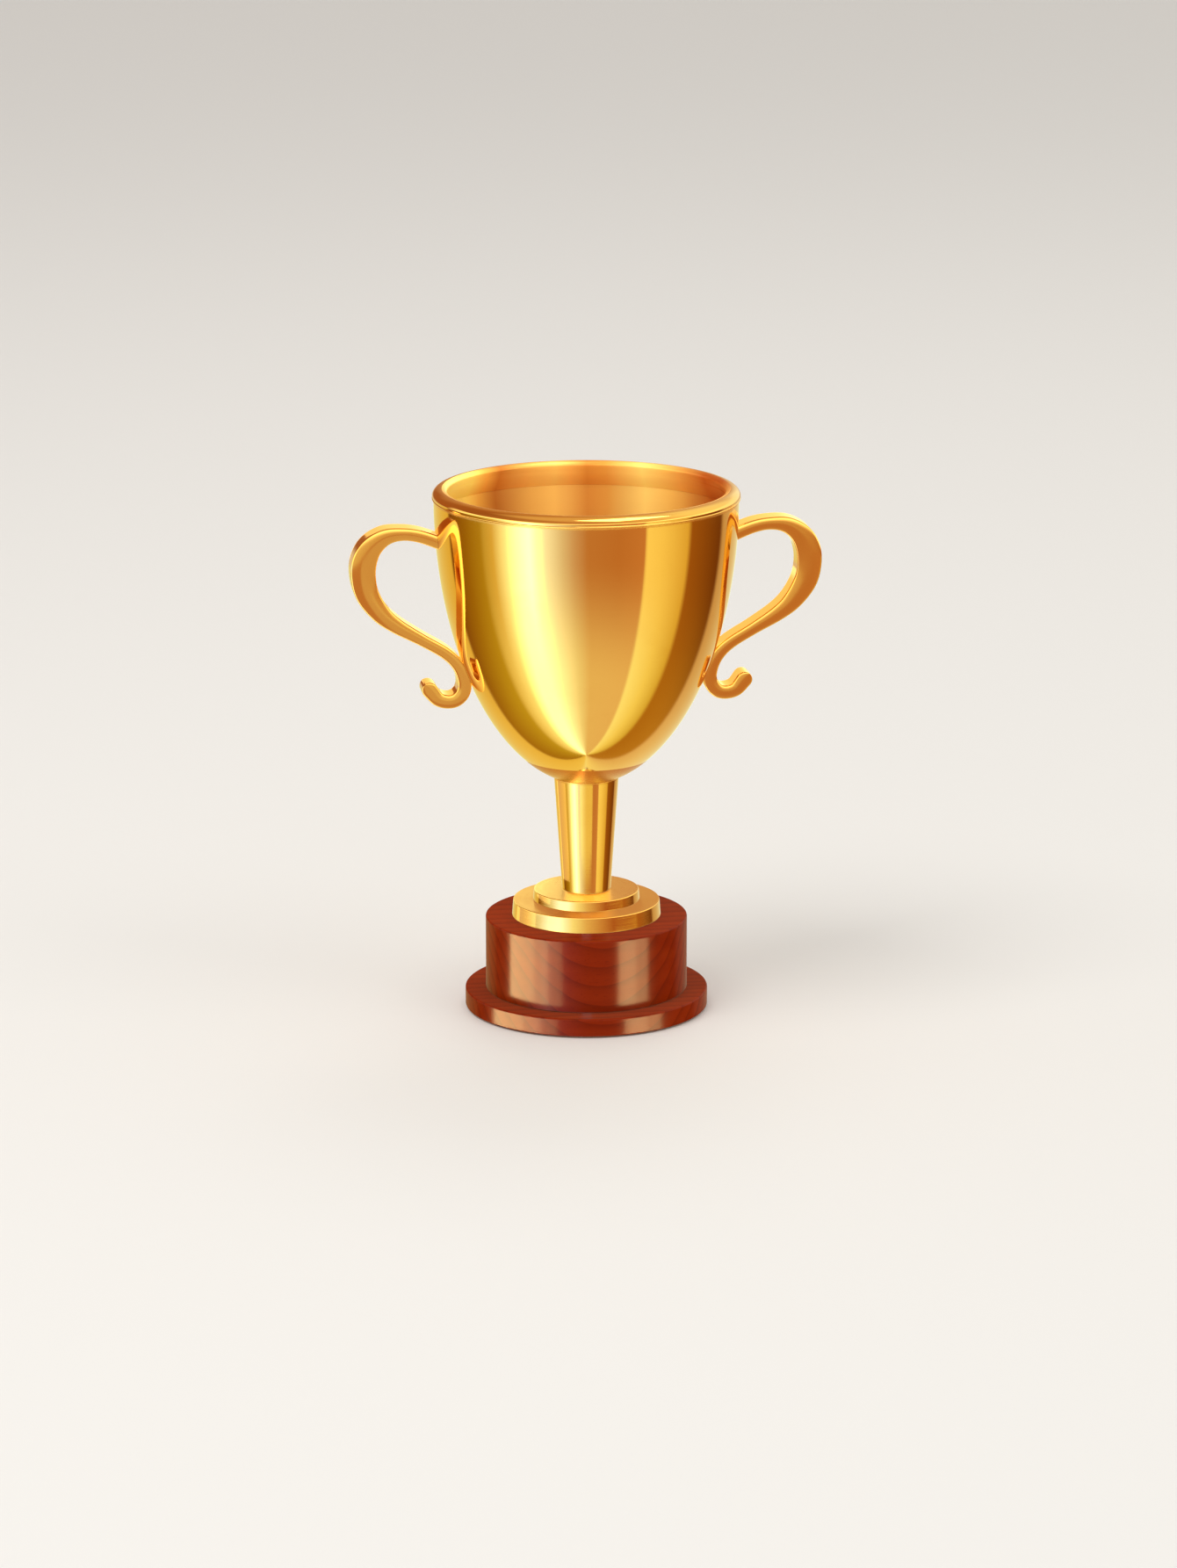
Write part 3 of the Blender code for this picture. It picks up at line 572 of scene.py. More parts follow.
def baize_finish():
    """Green baize: short matted fibres with paler tips."""
    deep, pale = (0.010, 0.055, 0.024, 1.0), (0.035, 0.150, 0.070, 1.0)
    worn = (0.012, 0.07, 0.03, 1.0)
    material, tree, shader = new_material("baize", (0.02, 0.10, 0.045), 0.95, 0.0)
    position = object_place(tree)
    fibres = noise_at(tree, position, 1400.0, 4.0, distortion=1.5)
    clumps = noise_at(tree, position, 90.0, 3.0)
    colour = blend_colours(tree, stepped(tree, fibres, 0.3, 0.75), deep, pale)
    colour = blend_colours(tree, times(tree, clumps, 0.4), colour, worn)
    feed(tree, shader, {"Base Color": colour, "Sheen Weight": 0.4})
    add_bump(tree, shader, fibres, 0.3 * MM)
    return material


# ---------------------------------------------------------------- mesh helpers


def new_object(name, data):
    thing = bpy.data.objects.new(name, data)
    bpy.context.scene.collection.objects.link(thing)
    return thing


def add_piece(name, mesh, material, nodes, sharp_angle=35.0):
    """A finished piece: shaded, given its finish, and put in place of its CAD nodes."""
    piece = new_object(name, mesh)
    mesh.materials.clear()
    mesh.materials.append(material)
    mesh.shade_smooth()
    mesh.set_sharp_from_angle(angle=math.radians(sharp_angle))
    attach(piece, BODY)
    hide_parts(*nodes)
    return piece


def tidy_mesh(mesh):
    """Merges doubles and faces the mesh outwards."""
    shape = bmesh.new()
    shape.from_mesh(mesh)
    bmesh.ops.remove_doubles(shape, verts=shape.verts, dist=WELD)
    bmesh.ops.recalc_face_normals(shape, faces=shape.faces)
    if shape.calc_volume(signed=True) < 0:
        bmesh.ops.reverse_faces(shape, faces=shape.faces)
    shape.to_mesh(mesh)
    shape.free()
    return mesh


def turned_mesh(name, profile, steps=ROUND, reach=None):
    """A closed (radius, height) profile spun round Z. reach(radius, angle) may trim a radius."""
    verts, rings = [], []
    for radius, height in profile:
        if radius < 1e-7:
            rings.append([len(verts)])
            verts.append((0.0, 0.0, height))
            continue
        rings.append(list(range(len(verts), len(verts) + steps)))
        for i in range(steps):
            angle = TAU * i / steps
            there = reach(radius, angle) if reach else radius
            verts.append((there * math.cos(angle), there * math.sin(angle), height))
    faces = []
    for a, b in zip(rings, rings[1:] + rings[:1]):
        if len(a) == 1 and len(b) == 1:
            continue
        for i in range(steps):
            j = (i + 1) % steps
            corners = [a[i % len(a)], a[j % len(a)], b[j % len(b)], b[i % len(b)]]
            faces.append(tuple(dict.fromkeys(corners)))
    mesh = bpy.data.meshes.new(name)
    mesh.from_pydata(verts, [], faces)
    return tidy_mesh(mesh)


def turned_piece(name, profile, finish, slot, nodes, sharp_angle=35.0, **turning):
    mesh = turned_mesh(name, profile, **turning)
    return add_piece(name, mesh, finish, nodes, sharp_angle)


def rounded(profile, corner_steps=5):
    """A closed profile of (radius, height, corner) points, with an arc in place of each corner."""
    out = []
    count = len(profile)
    for i, (x, z, size) in enumerate(profile):
        here = Vector((x, z))
        before = Vector(profile[i - 1][:2]) - here
        after = Vector(profile[(i + 1) % count][:2]) - here
        if size <= 0:
            out.append((x, z))
            continue
        size = min(size, before.length * 0.48, after.length * 0.48)
        start, end = here + before.normalized() * size, here + after.normalized() * size
        for k in range(corner_steps + 1):
            t = k / corner_steps
            point = start * (1 - t) ** 2 + here * 2 * t * (1 - t) + end * t**2
            out.append((point.x, point.y))
    return held(out)


def held(profile):
    """Adds a point just inside both ends of each long straight run, so that flat faces shade flat."""
    margin, shortest = 0.12 * MM, 1.2 * MM
    out = []
    for a, b in zip(profile, profile[1:] + profile[:1]):
        out.append(a)
        run = math.dist(a, b)
        if run > shortest and min(a[0], b[0]) > margin:
            for share in (margin / run, 1 - margin / run):
                out.append((a[0] + (b[0] - a[0]) * share, a[1] + (b[1] - a[1]) * share))
    return out


def arc_points(centre, reach, start, end, steps):
    """Points on an ellipse arc, by angle in degrees."""
    return [
        (
            centre[0] + reach[0] * math.cos(math.radians(start + (end - start) * i / steps)),
            centre[1] + reach[1] * math.sin(math.radians(start + (end - start) * i / steps)),
        )
        for i in range(steps + 1)
    ]


# ---------------------------------------------------------------- the bowl's surface


def bowl_radius_at(height, inset=0.0):
    drop = (RIM_PLANE - height) / (BOWL_DEPTH - inset)
    return (BOWL_RADIUS - inset) * math.sqrt(max(0.0, 1.0 - drop * drop))


def bowl_height_at(radius, inset=0.0):
    share = radius / (BOWL_RADIUS - inset)
    return RIM_PLANE - (BOWL_DEPTH - inset) * math.sqrt(1.0 - share * share)


def bowl_outward(height):
    slope = Vector((bowl_radius_at(height) / BOWL_RADIUS**2, 0, (height - RIM_PLANE) / BOWL_DEPTH**2))
    return slope.normalized()


# ---------------------------------------------------------------- Geometry Nodes


def geometry_tree(name, inputs):
    """A modifier tree with named inputs: (name, socket type, default)."""
    tree = bpy.data.node_groups.new(name, "GeometryNodeTree")
    tree.interface.new_socket("Geometry", in_out="INPUT", socket_type="NodeSocketGeometry")
    for label, kind, default in inputs:
        socket = tree.interface.new_socket(label, in_out="INPUT", socket_type=kind)
        if default is not None:
            socket.default_value = default
    tree.interface.new_socket("Geometry", in_out="OUTPUT", socket_type="NodeSocketGeometry")
    return tree, tree.nodes.new("NodeGroupInput"), tree.nodes.new("NodeGroupOutput")


def finish_tree(tree, geometry, given, out):
    """Makes instances real and sets the finish, as the last steps of a tree."""
    real = add_node(tree, "GeometryNodeRealizeInstances", {"Geometry": geometry}).outputs[0]
    inputs = {"Geometry": real, "Material": given.outputs["Finish"]}
    feed(tree, out, {"Geometry": add_node(tree, "GeometryNodeSetMaterial", inputs).outputs[0]})


def mesh_from_tree(name, tree, start_mesh, **values):
    """Runs a Geometry Nodes tree on a mesh and returns the result as a plain mesh."""
    guide = new_object(name, start_mesh)
    modifier = guide.modifiers.new("Make", "NODES")
    modifier.node_group = tree
    sockets = {s.name: s.identifier for s in tree.interface.items_tree if s.in_out == "INPUT"}
    for key, value in values.items():
        modifier[sockets[key.replace("_", " ")]] = value
    bpy.context.view_layer.update()
    depsgraph = bpy.context.evaluated_depsgraph_get()
    mesh = bpy.data.meshes.new_from_object(guide.evaluated_get(depsgraph))
    bpy.data.objects.remove(guide)
    mesh.name = name
    return mesh


def make_shell_tree():
    """A spun shell: half an ellipsoid with a wall, open at the rim, with a hole at the bottom."""
    tree, given, out = geometry_tree(
        "spun_shell",
        [
            ("Radius", "NodeSocketFloat", 0.1),
            ("Depth", "NodeSocketFloat", 0.2),
            ("Wall", "NodeSocketFloat", 0.002),
            ("Rim Height", "NodeSocketFloat", 0.3),
            ("Hole Radius", "NodeSocketFloat", 0.003),
            ("Steps Around", "NodeSocketInt", 240),
            ("Steps Down", "NodeSocketInt", 90),
            ("Finish", "NodeSocketMaterial", None),
        ],
    )
    down = given.outputs["Steps Down"]
    rows = plus(tree, times(tree, down, 2.0), 3.0)
    columns = plus(tree, given.outputs["Steps Around"], 1.0)
    counts = {"Size X": 1.0, "Size Y": 1.0, "Vertices X": columns, "Vertices Y": rows}
    grid = add_node(tree, "GeometryNodeMeshGrid", counts)
    position = add_node(tree, "GeometryNodeInputPosition").outputs[0]
    place = add_node(tree, "ShaderNodeSeparateXYZ", {0: position}).outputs
    angle = times(tree, plus(tree, place[0], 0.5), TAU)
    row = maths(tree, "ROUND", times(tree, plus(tree, place[1], 0.5), minus(tree, rows, 1.0)))
    # Rows go down the outer wall, up the inner wall, and close on the first row.
    last_inner = plus(tree, times(tree, down, 2.0), 1.0)
    past_outer = maths(tree, "GREATER_THAN", row, plus(tree, down, 0.5))
    before_close = maths(tree, "LESS_THAN", row, plus(tree, last_inner, 0.5))
    on_inner = times(tree, past_outer, before_close)
    steps = maths(tree, "MAXIMUM", 0.0, maths(tree, "MINIMUM", row, minus(tree, last_inner, row)))
    inset = times(tree, on_inner, given.outputs["Wall"])
    radius = minus(tree, given.outputs["Radius"], inset)
    depth = minus(tree, given.outputs["Depth"], inset)
    end = maths(tree, "ARCCOSINE", over(tree, given.outputs["Hole Radius"], radius))
    turn = times(tree, over(tree, steps, down), end)
    reach = times(tree, radius, maths(tree, "COSINE", turn))
    height = minus(tree, given.outputs["Rim Height"], times(tree, depth, maths(tree, "SINE", turn)))
    x = times(tree, reach, maths(tree, "COSINE", angle))
    y = times(tree, reach, maths(tree, "SINE", angle))
    spot = {"Geometry": grid.outputs["Mesh"], "Position": combined(tree, x, y, height)}
    moved = add_node(tree, "GeometryNodeSetPosition", spot)
    doubles = {"Geometry": moved.outputs[0], "Distance": WELD}
    merged = add_node(tree, "GeometryNodeMergeByDistance", doubles)
    finish_tree(tree, merged.outputs[0], given, out)
    return tree


def make_copies_tree():
    """Puts a copy of one shape on each point, turned from +Z to the point's "outward" direction."""
    tree, given, out = geometry_tree(
        "copies_on_points",
        [
            ("Shape", "NodeSocketObject", None),
            ("Size", "NodeSocketFloat", 1.0),
            ("Finish", "NodeSocketMaterial", None),
        ],
    )
    points = add_node(tree, "GeometryNodeMeshToPoints", {"Mesh": given.outputs["Geometry"]})
    outward = add_node(
        tree, "GeometryNodeInputNamedAttribute", {"Name": "outward"}, data_type="FLOAT_VECTOR"
    )
    facing_out = {"Vector": outward.outputs[0]}
    turn = add_node(tree, "FunctionNodeAlignRotationToVector", facing_out, axis="Z")
    shape = add_node(tree, "GeometryNodeObjectInfo", {"Object": given.outputs["Shape"]})
    placed = add_node(
        tree,
        "GeometryNodeInstanceOnPoints",
        {
            "Points": points.outputs[0],
            "Instance": shape.outputs["Geometry"],
            "Rotation": turn.outputs[0],
            "Scale": given.outputs["Size"],
        },
    )
    finish_tree(tree, placed.outputs[0], given, out)
    return tree


# ---------------------------------------------------------------- the cup


def make_bowl(finish):
    mesh = mesh_from_tree(
        "spun_bowl",
        make_shell_tree(),
        bpy.data.meshes.new("start"),
        Radius=BOWL_RADIUS,
        Depth=BOWL_DEPTH,
        Wall=BOWL_WALL,
        Rim_Height=RIM_PLANE,
        Hole_Radius=ROD_HOLE,
        Steps_Around=ROUND,
        Steps_Down=96,
        Finish=finish,
    )
    add_piece("spun_bowl", tidy_mesh(mesh), finish, ["cup_bowl"])


def make_rim(finish):
    """A half-round moulding with a bead along its lower edge and a cove inside."""
    shoulder = RIM_FOOT + 1.5 * MM
    outer_reach = (RIM_OUTER - RIM_CREST, RIM_TOP - shoulder)
    inner_edge = RIM_TOP - 2.4 * MM
    outer = arc_points((RIM_CREST, shoulder), outer_reach, 90, 8, 22)
    bead_centre = (RIM_OUTER - RIM_BEAD, RIM_FOOT + RIM_BEAD)
    bead = arc_points(bead_centre, (RIM_BEAD, RIM_BEAD), 60, -90, 9)
    inner_reach = (RIM_CREST - RIM_INNER, RIM_TOP - inner_edge)
    inner = arc_points((RIM_CREST, inner_edge), inner_reach, 190, 96, 14)
    # The cove rises from the bowl's wall: how far in, and how far up, in millimetres.
    wall = bowl_radius_at(COVE_FOOT, BOWL_WALL + GAP) + 0.22 * MM
    sweep = [(0, 0), (0.25, 0.15), (1.1, 1.4), (2.6, 3.9), (3.9, 6.6), (4.9, 9.4)]
    cove = [(wall - inwards * MM, COVE_FOOT + up * MM) for inwards, up in sweep]
    groove_out, groove_in = BOWL_RADIUS + 0.1 * MM, BOWL_RADIUS - BOWL_WALL - 0.1 * MM
    groove_top = RIM_PLANE + 1.4 * MM
    groove = [
        (groove_out, RIM_FOOT),
        (groove_out, groove_top),
        (groove_in, groove_top),
        (groove_in, RIM_FOOT),
    ]
    profile = [*outer, *bead, *groove, *smooth_profile(cove, 5), *inner[1:]]
    turned_piece("rim_moulding", profile, finish, "gold_plate", ["rim_ring"], sharp_angle=50.0)


def smooth_profile(points, steps):
    return [tuple(p) for p in smooth_line([Vector(point) for point in points], steps)]


def smooth_line(stations, steps):
    """Points on a Catmull-Rom curve through the stations."""
    padded = [2 * stations[0] - stations[1], *stations, 2 * stations[-1] - stations[-2]]
    line = []
    for a, b, c, d in zip(padded, padded[1:], padded[2:], padded[3:]):
        for i in range(steps):
            t = i / steps
            bend = 2 * a - 5 * b + 4 * c - d
            twist = 3 * b - a - 3 * c + d
            line.append(0.5 * (2 * b + (c - a) * t + bend * t**2 + twist * t**3))
    return [*line, stations[-1]]


def make_stem(finish):
    """The hollow tapered stem, whose top is cut to the bowl's curve."""
    foot = UPPER_DISC_TOP + SEAT_GAP
    top_outer = bowl_height_at(STEM_TOP_RADIUS) - SEAT_GAP
    inner = STEM_TOP_RADIUS - STEM_WALL
    top_inner = bowl_height_at(inner) - SEAT_GAP
    edge = 0.3 * MM
    profile = rounded(
        [
            (STEM_TOP_RADIUS, top_outer, edge),
            (STEM_BASE_RADIUS, foot, edge),
            (STEM_BASE_RADIUS - STEM_WALL, foot, 0),
            (inner, top_inner, 0),
        ]
    )
    turned_piece("stem_taper", profile, finish, "gold_plate", ["stem"])


def make_discs(finish):
    """The two stepped discs, whose sides lean in a little towards the top."""
    edge = 0.55 * MM
    spigot_top = UPPER_DISC_TOP + STEM_SPIGOT_HEIGHT
    spigot_end = UPPER_DISC_BOTTOM - DISC_SPIGOT_HEIGHT
    upper = [
        (STEM_SPIGOT_RADIUS, spigot_top, edge),
        (STEM_SPIGOT_RADIUS, UPPER_DISC_TOP, 0),
        (UPPER_DISC_RADIUS - DISC_DRAFT * (UPPER_DISC_TOP - UPPER_DISC_BOTTOM), UPPER_DISC_TOP, edge),
        (UPPER_DISC_RADIUS, UPPER_DISC_BOTTOM, 0.25 * MM),
        (DISC_SPIGOT_RADIUS, UPPER_DISC_BOTTOM, 0),
        (DISC_SPIGOT_RADIUS, spigot_end, 0.3 * MM),
        (ROD_HOLE, spigot_end, 0),
        (ROD_HOLE, spigot_top, 0),
    ]
    turned_piece("foot_disc_small", rounded(upper), finish, "gold_plate", ["foot_disc_upper"])
    hollow_top = LOWER_DISC_BOTTOM + HOLLOW_HEIGHT
    socket_floor = LOWER_DISC_BOTTOM + SOCKET_FLOOR
    lower = [
        (LOWER_DISC_RADIUS - DISC_DRAFT * (LOWER_DISC_TOP - LOWER_DISC_BOTTOM), LOWER_DISC_TOP, edge),
        (LOWER_DISC_RADIUS, LOWER_DISC_BOTTOM, 0.25 * MM),
        (HOLLOW_RADIUS, LOWER_DISC_BOTTOM, 0.2 * MM),
        (HOLLOW_RADIUS, hollow_top, 0.5 * MM),
        (BOSS_RADIUS, hollow_top, 0.5 * MM),
        (BOSS_RADIUS, LOWER_DISC_BOTTOM, 0.2 * MM),
        (ROD_HOLE, LOWER_DISC_BOTTOM, 0),
        (ROD_HOLE, socket_floor, 0),
        (SOCKET_RADIUS, socket_floor, 0),
        (SOCKET_RADIUS, LOWER_DISC_TOP, 0.2 * MM),
    ]
    turned_piece("foot_disc_large", rounded(lower), finish, "gold_plate", ["foot_disc_lower"])


# ---------------------------------------------------------------- handles


def strap_section(half_thickness, half_depth):
    """A rounded rectangle, (in-plane, sideways), whose front and back faces are slightly crowned."""
    corner = min(HANDLE_CORNER, half_thickness * 0.6)
    flat_t = half_thickness - corner
    swell = HANDLE_CROWN * flat_t
    flat_d = half_depth - corner - swell
    face_steps, corner_steps = 9, 5
    section = []
    for side in range(4):
        crowned = side % 2 == 1
        across, along = (flat_d, flat_t) if crowned else (flat_t, flat_d)
        turn = side * math.pi / 2
        # One side face, then the corner after it.
        for i in range(face_steps):
            t = -1 + 2 * i / face_steps
            push = swell * (1 - t * t) if crowned else 0.0
            section.append(turned_point((across + corner + push, along * t), turn))
        for i in range(corner_steps):
            angle = math.pi / 2 * i / corner_steps
            point = (across + corner * math.cos(angle), along + corner * math.sin(angle))
            section.append(turned_point(point, turn))
    return section


def turned_point(point, angle):
    x, y = point
    return (x * math.cos(angle) - y * math.sin(angle), x * math.sin(angle) + y * math.cos(angle))


def strap_stations():
    """Centre, in-plane side direction and half thickness at close steps, with a round tip."""
    line = smooth_line([Vector(s) * MM for s in HANDLE_STATIONS], HANDLE_STEPS_PER_STATION)
    out = []
    for i, point in enumerate(line):
        ahead = (line[min(i + 1, len(line) - 1)] - line[max(i - 1, 0)]).to_2d().normalized()
        out.append((point.to_2d(), Vector((-ahead.y, ahead.x)), point.z / 2 - HANDLE_FINISHING))
    centre, side, _ = out[-1]
    ahead = Vector((side.y, -side.x))
    tip_steps = 13
    for i in range(1, tip_steps):
        angle = math.pi / 2 * i / tip_steps
        half = (SCROLL_TIP_RADIUS - HANDLE_FINISHING) * math.cos(angle)
        out.append((centre + ahead * SCROLL_TIP_RADIUS * math.sin(angle), side, half))
    return out


def strap_mesh():
    verts, faces = [], []
    rows = []
    for centre, side, half in strap_stations():
        section = strap_section(half, HANDLE_DEPTH / 2)
        rows.append(range(len(verts), len(verts) + len(section)))
        for u, v in section:
            spot = centre + side * u
            verts.append((spot.x, v, spot.y))
    size = len(rows[0])
    for a, b in zip(rows, rows[1:]):
        for i in range(size):
            j = (i + 1) % size
            faces.append((a[i], a[j], b[j], b[i]))
    faces += [tuple(rows[0]), tuple(reversed(rows[-1]))]
    mesh = bpy.data.meshes.new("strap")
    mesh.from_pydata(verts, [], faces)
    return tidy_mesh(mesh)


def seat_cutter():
    """The bowl's outer surface with a hair's clearance, as a solid."""
    radius, depth = BOWL_RADIUS + SEAT_GAP, BOWL_DEPTH + SEAT_GAP
    curve = arc_points((0.0, RIM_PLANE), (radius, depth), 0, -90, 120)[:-1]
    profile = [(0.0, RIM_PLANE), *curve, (0.0, RIM_PLANE - depth)]
    return new_object("handle_seat", turned_mesh("handle_seat", profile, 2 * ROUND))


def cut_mesh(mesh, cutter):
    """A mesh with a Boolean difference applied."""
    guide = new_object("cut", mesh)
    boolean = guide.modifiers.new("Cut", "BOOLEAN")
    boolean.operation = "DIFFERENCE"
    boolean.solver = "EXACT"
    boolean.object = cutter
    bpy.context.view_layer.update()
    result = bpy.data.meshes.new_from_object(guide.evaluated_get(bpy.context.evaluated_depsgraph_get()))
    bpy.data.objects.remove(guide)
    bpy.data.objects.remove(cutter)
    return result


def make_handles(finish):
    strap = cut_mesh(strap_mesh(), seat_cutter())
    left = strap.copy()
    left.transform(Matrix.Rotation(math.pi, 4, "Z"))
    add_piece("strap_handle_right", strap, finish, ["handle_right"], sharp_angle=50.0)
    add_piece("strap_handle_left", left, finish, ["handle_left"], sharp_angle=50.0)


# ---------------------------------------------------------------- hardware inside the bowl


def hexagon_reach(radius, angle):
    """Trims a turned radius to the flats of a hexagon."""
    off_flat = (angle + math.pi / 6) % (math.pi / 3) - math.pi / 6
    return min(radius, M6_ACROSS_FLATS / 2 / math.cos(off_flat))


def make_nut_and_spreader(finish):
    clear = BOWL_WALL + SEAT_GAP
    radii = np.linspace(SPREADER_RADIUS, ROD_HOLE, 12)
    under = [(r, bowl_height_at(r, clear) + 0.03 * MM, 0) for r in radii]
    spreader = [
        (ROD_HOLE, SPREADER_TOP, 0.2 * MM),
        (SPREADER_RADIUS - 2.2 * MM, SPREADER_TOP, 0.8 * MM),
        (SPREADER_RADIUS, bowl_height_at(SPREADER_RADIUS, clear) + 0.9 * MM, 0.3 * MM),
        *under,
    ]
    turned_piece(
        "spreader", rounded(spreader), finish, "gold_plate", ["bowl_spreader_washer"], steps=2 * ROUND_SMALL
    )

    seat = SPREADER_TOP + SEAT_GAP
    chamfer = M6_ACROSS_FLATS / 2 + 0.05 * MM
    widest = M6_ACROSS_FLATS / math.sqrt(3)
    out, rise, shares = 1.7 * MM, 0.45 * MM, (0.25, 0.5, 0.75, 1.0)
    top = seat + DOME_NUT_HEX_HEIGHT
    hexagon = [(chamfer, seat)]
    hexagon += [(min(widest, chamfer + out * t), seat + rise * t) for t in shares]
    hexagon += [(min(widest, chamfer + out * t), top - rise * t) for t in reversed(shares)]
    dome = arc_points((0.0, top), (DOME_RADIUS, DOME_NUT_HEIGHT - DOME_NUT_HEX_HEIGHT), 0, 90, 20)[:-1]
    profile = [(0.0, seat), *hexagon, (chamfer, top), *dome, (0.0, seat + DOME_NUT_HEIGHT)]
    turning = {"steps": 2 * ROUND_SMALL, "reach": hexagon_reach}
    turned_piece("dome_nut_bright", profile, finish, "gold_plate", ["dome_nut"], 22.0, **turning)


def screw_head_shape():
    """A slotted pan head on its washer, made with the bowl's outer surface at its origin, +Z outwards."""
    standoff = -(BOWL_WALL + WASHER_STANDOFF)
    washer_low = standoff - WASHER_THICKNESS
    under = washer_low - 0.02 * MM
    head = under - SCREW_HEAD_HEIGHT
    pan = [
        (0.0, under, 0),
        (SCREW_HEAD_RADIUS, under, 0.1 * MM),
        (SCREW_HEAD_RADIUS, head + 1.0 * MM, 0.4 * MM),
        (SCREW_HEAD_RADIUS - 0.9 * MM, head, 0.5 * MM),
        (0.0, head, 0),
    ]
    washer = [
        (0.5 * MM, standoff, 0),
        (WASHER_RADIUS, standoff, 0.12 * MM),
        (WASHER_RADIUS, washer_low, 0.12 * MM),
        (0.5 * MM, washer_low, 0),
    ]
    slot = bpy.data.meshes.new("slot")
    shape = bmesh.new()
    size = Matrix.Diagonal((4 * SCREW_HEAD_RADIUS, SCREW_SLOT_WIDTH, 2 * SCREW_SLOT_DEPTH, 1.0))
    bmesh.ops.create_cube(shape, size=1.0, matrix=Matrix.Translation((0, 0, head)) @ size)
    shape.to_mesh(slot)
    shape.free()
    cutter = new_object("slot", slot)
    screw = cut_mesh(turned_mesh("pan_head", rounded(pan), ROUND_SMALL), cutter)
    shape = bmesh.new()
    shape.from_mesh(screw)
    shape.from_mesh(turned_mesh("washer", rounded(washer), ROUND_SMALL))
    shape.to_mesh(screw)
    shape.free()
    return screw


def make_handle_screws(finish):
    """The four slotted screws and washers that hold the handles, copied on to the bowl's inside."""
    shape = new_object("screw_shape", screw_head_shape())
    spots, outwards = [], []
    for height in SCREW_HEIGHTS:
        for sign in (1.0, -1.0):
            outward = bowl_outward(height)
            spots.append((sign * bowl_radius_at(height), 0.0, height))
            outwards.append((sign * outward.x, 0.0, outward.z))
    points = bpy.data.meshes.new("screw_points")
    points.from_pydata(spots, [], [])
    attribute = points.attributes.new("outward", "FLOAT_VECTOR", "POINT")
    attribute.data.foreach_set("vector", [value for outward in outwards for value in outward])
    tree = make_copies_tree()
    mesh = mesh_from_tree("handle_screws", tree, points, Shape=shape, Size=1.0, Finish=finish)
    bpy.data.objects.remove(shape)
    nodes = [
        f"handle_{kind}_{side}_{place}"
        for kind in ("screw", "washer")
        for side in ("left", "right")
        for place in ("upper", "lower")
    ]
    add_piece("handle_screws", mesh, finish, nodes, sharp_angle=40.0)


# ---------------------------------------------------------------- the plinth


def make_plinth(finish):
    edge = 0.9 * MM
    drum = [
        (DRUM_BORE, DRUM_TOP, 0),
        (DRUM_RADIUS, DRUM_TOP, edge),
        (DRUM_RADIUS, DRUM_BOTTOM, 0.4 * MM),
        (POCKET_RADIUS, DRUM_BOTTOM, 0.3 * MM),
        (POCKET_RADIUS, POCKET_TOP, 0.3 * MM),
        (DRUM_BORE, POCKET_TOP, 0),
    ]
    turned_piece("turned_drum", rounded(drum, 7), finish, "mahogany_lacquer", ["plinth_drum"])
    foot = [
        (FOOT_BORE, FOOT_TOP, 0.3 * MM),
        (FOOT_RADIUS, FOOT_TOP, edge),
        (FOOT_RADIUS, FOOT_UNDERSIDE, 0.6 * MM),
        (REBATE_RADIUS, FOOT_UNDERSIDE, 0.2 * MM),
        (REBATE_RADIUS, REBATE_TOP, 0.1 * MM),
        (FOOT_BORE, REBATE_TOP, 0.2 * MM),
    ]
    turned_piece("turned_foot", rounded(foot, 7), finish, "mahogany_lacquer", ["plinth_foot"])


def make_felt(finish):
    """A disc of baize, cut with a slightly ragged edge."""
    even_part, trimmed = 0.9, 0.25 * MM
    # Size in millimetres, how many go round, and the start of each wave in the edge.
    waves = [(0.10, 37, 1.3), (0.08, 83, 0.0), (0.05, 151, 0.4)]

    def ragged(radius, angle):
        if radius < FELT_RADIUS * even_part:
            return radius
        wobble = sum(size * math.sin(count * angle + start) for size, count, start in waves)
        return radius - trimmed + wobble * MM

    profile = [
        (0.0, 0.0, 0),
        *[(FELT_RADIUS * share, 0.0, 0) for share in (0.25, 0.5, 0.75, even_part)],
        (FELT_RADIUS, 0.0, 0.4 * MM),
        (FELT_RADIUS, FELT_THICKNESS, 0.4 * MM),
        (0.0, FELT_THICKNESS, 0),
    ]
    turning = {"steps": 360, "reach": ragged}
    piece = turned_piece("baize_pad", rounded(profile), finish, "baize", ["base_felt"], **turning)


# ---------------------------------------------------------------- studio


def make_camera():
    data = bpy.data.cameras.new("studio_camera")
    data.lens = CAMERA_LENS_MM
    data.sensor_width = 36.0
    data.clip_end = 100.0
    camera = new_object("studio_camera", data)
    camera.location = (
        math.sin(CAMERA_AZIMUTH) * CAMERA_DISTANCE,
        -math.cos(CAMERA_AZIMUTH) * CAMERA_DISTANCE,
        CAMERA_HEIGHT,
    )
    camera.rotation_euler = (math.pi / 2 - CAMERA_PITCH, 0.0, CAMERA_AZIMUTH + CAMERA_YAW)
    bpy.context.scene.camera = camera


def make_floor():
    """A wide pale floor. The metal doesn't mirror it, so that only the soft boxes show in the gold."""
    material, _, _ = new_material("pale_floor", (0.80, 0.79, 0.77), 0.7, 0.0)
    shape = bmesh.new()
    bmesh.ops.create_circle(shape, cap_ends=True, segments=128, radius=30.0)
    mesh = bpy.data.meshes.new("floor")
    shape.to_mesh(mesh)
    shape.free()
    floor = new_object("floor", mesh)
    mesh.materials.append(material)
    floor.visible_glossy = False


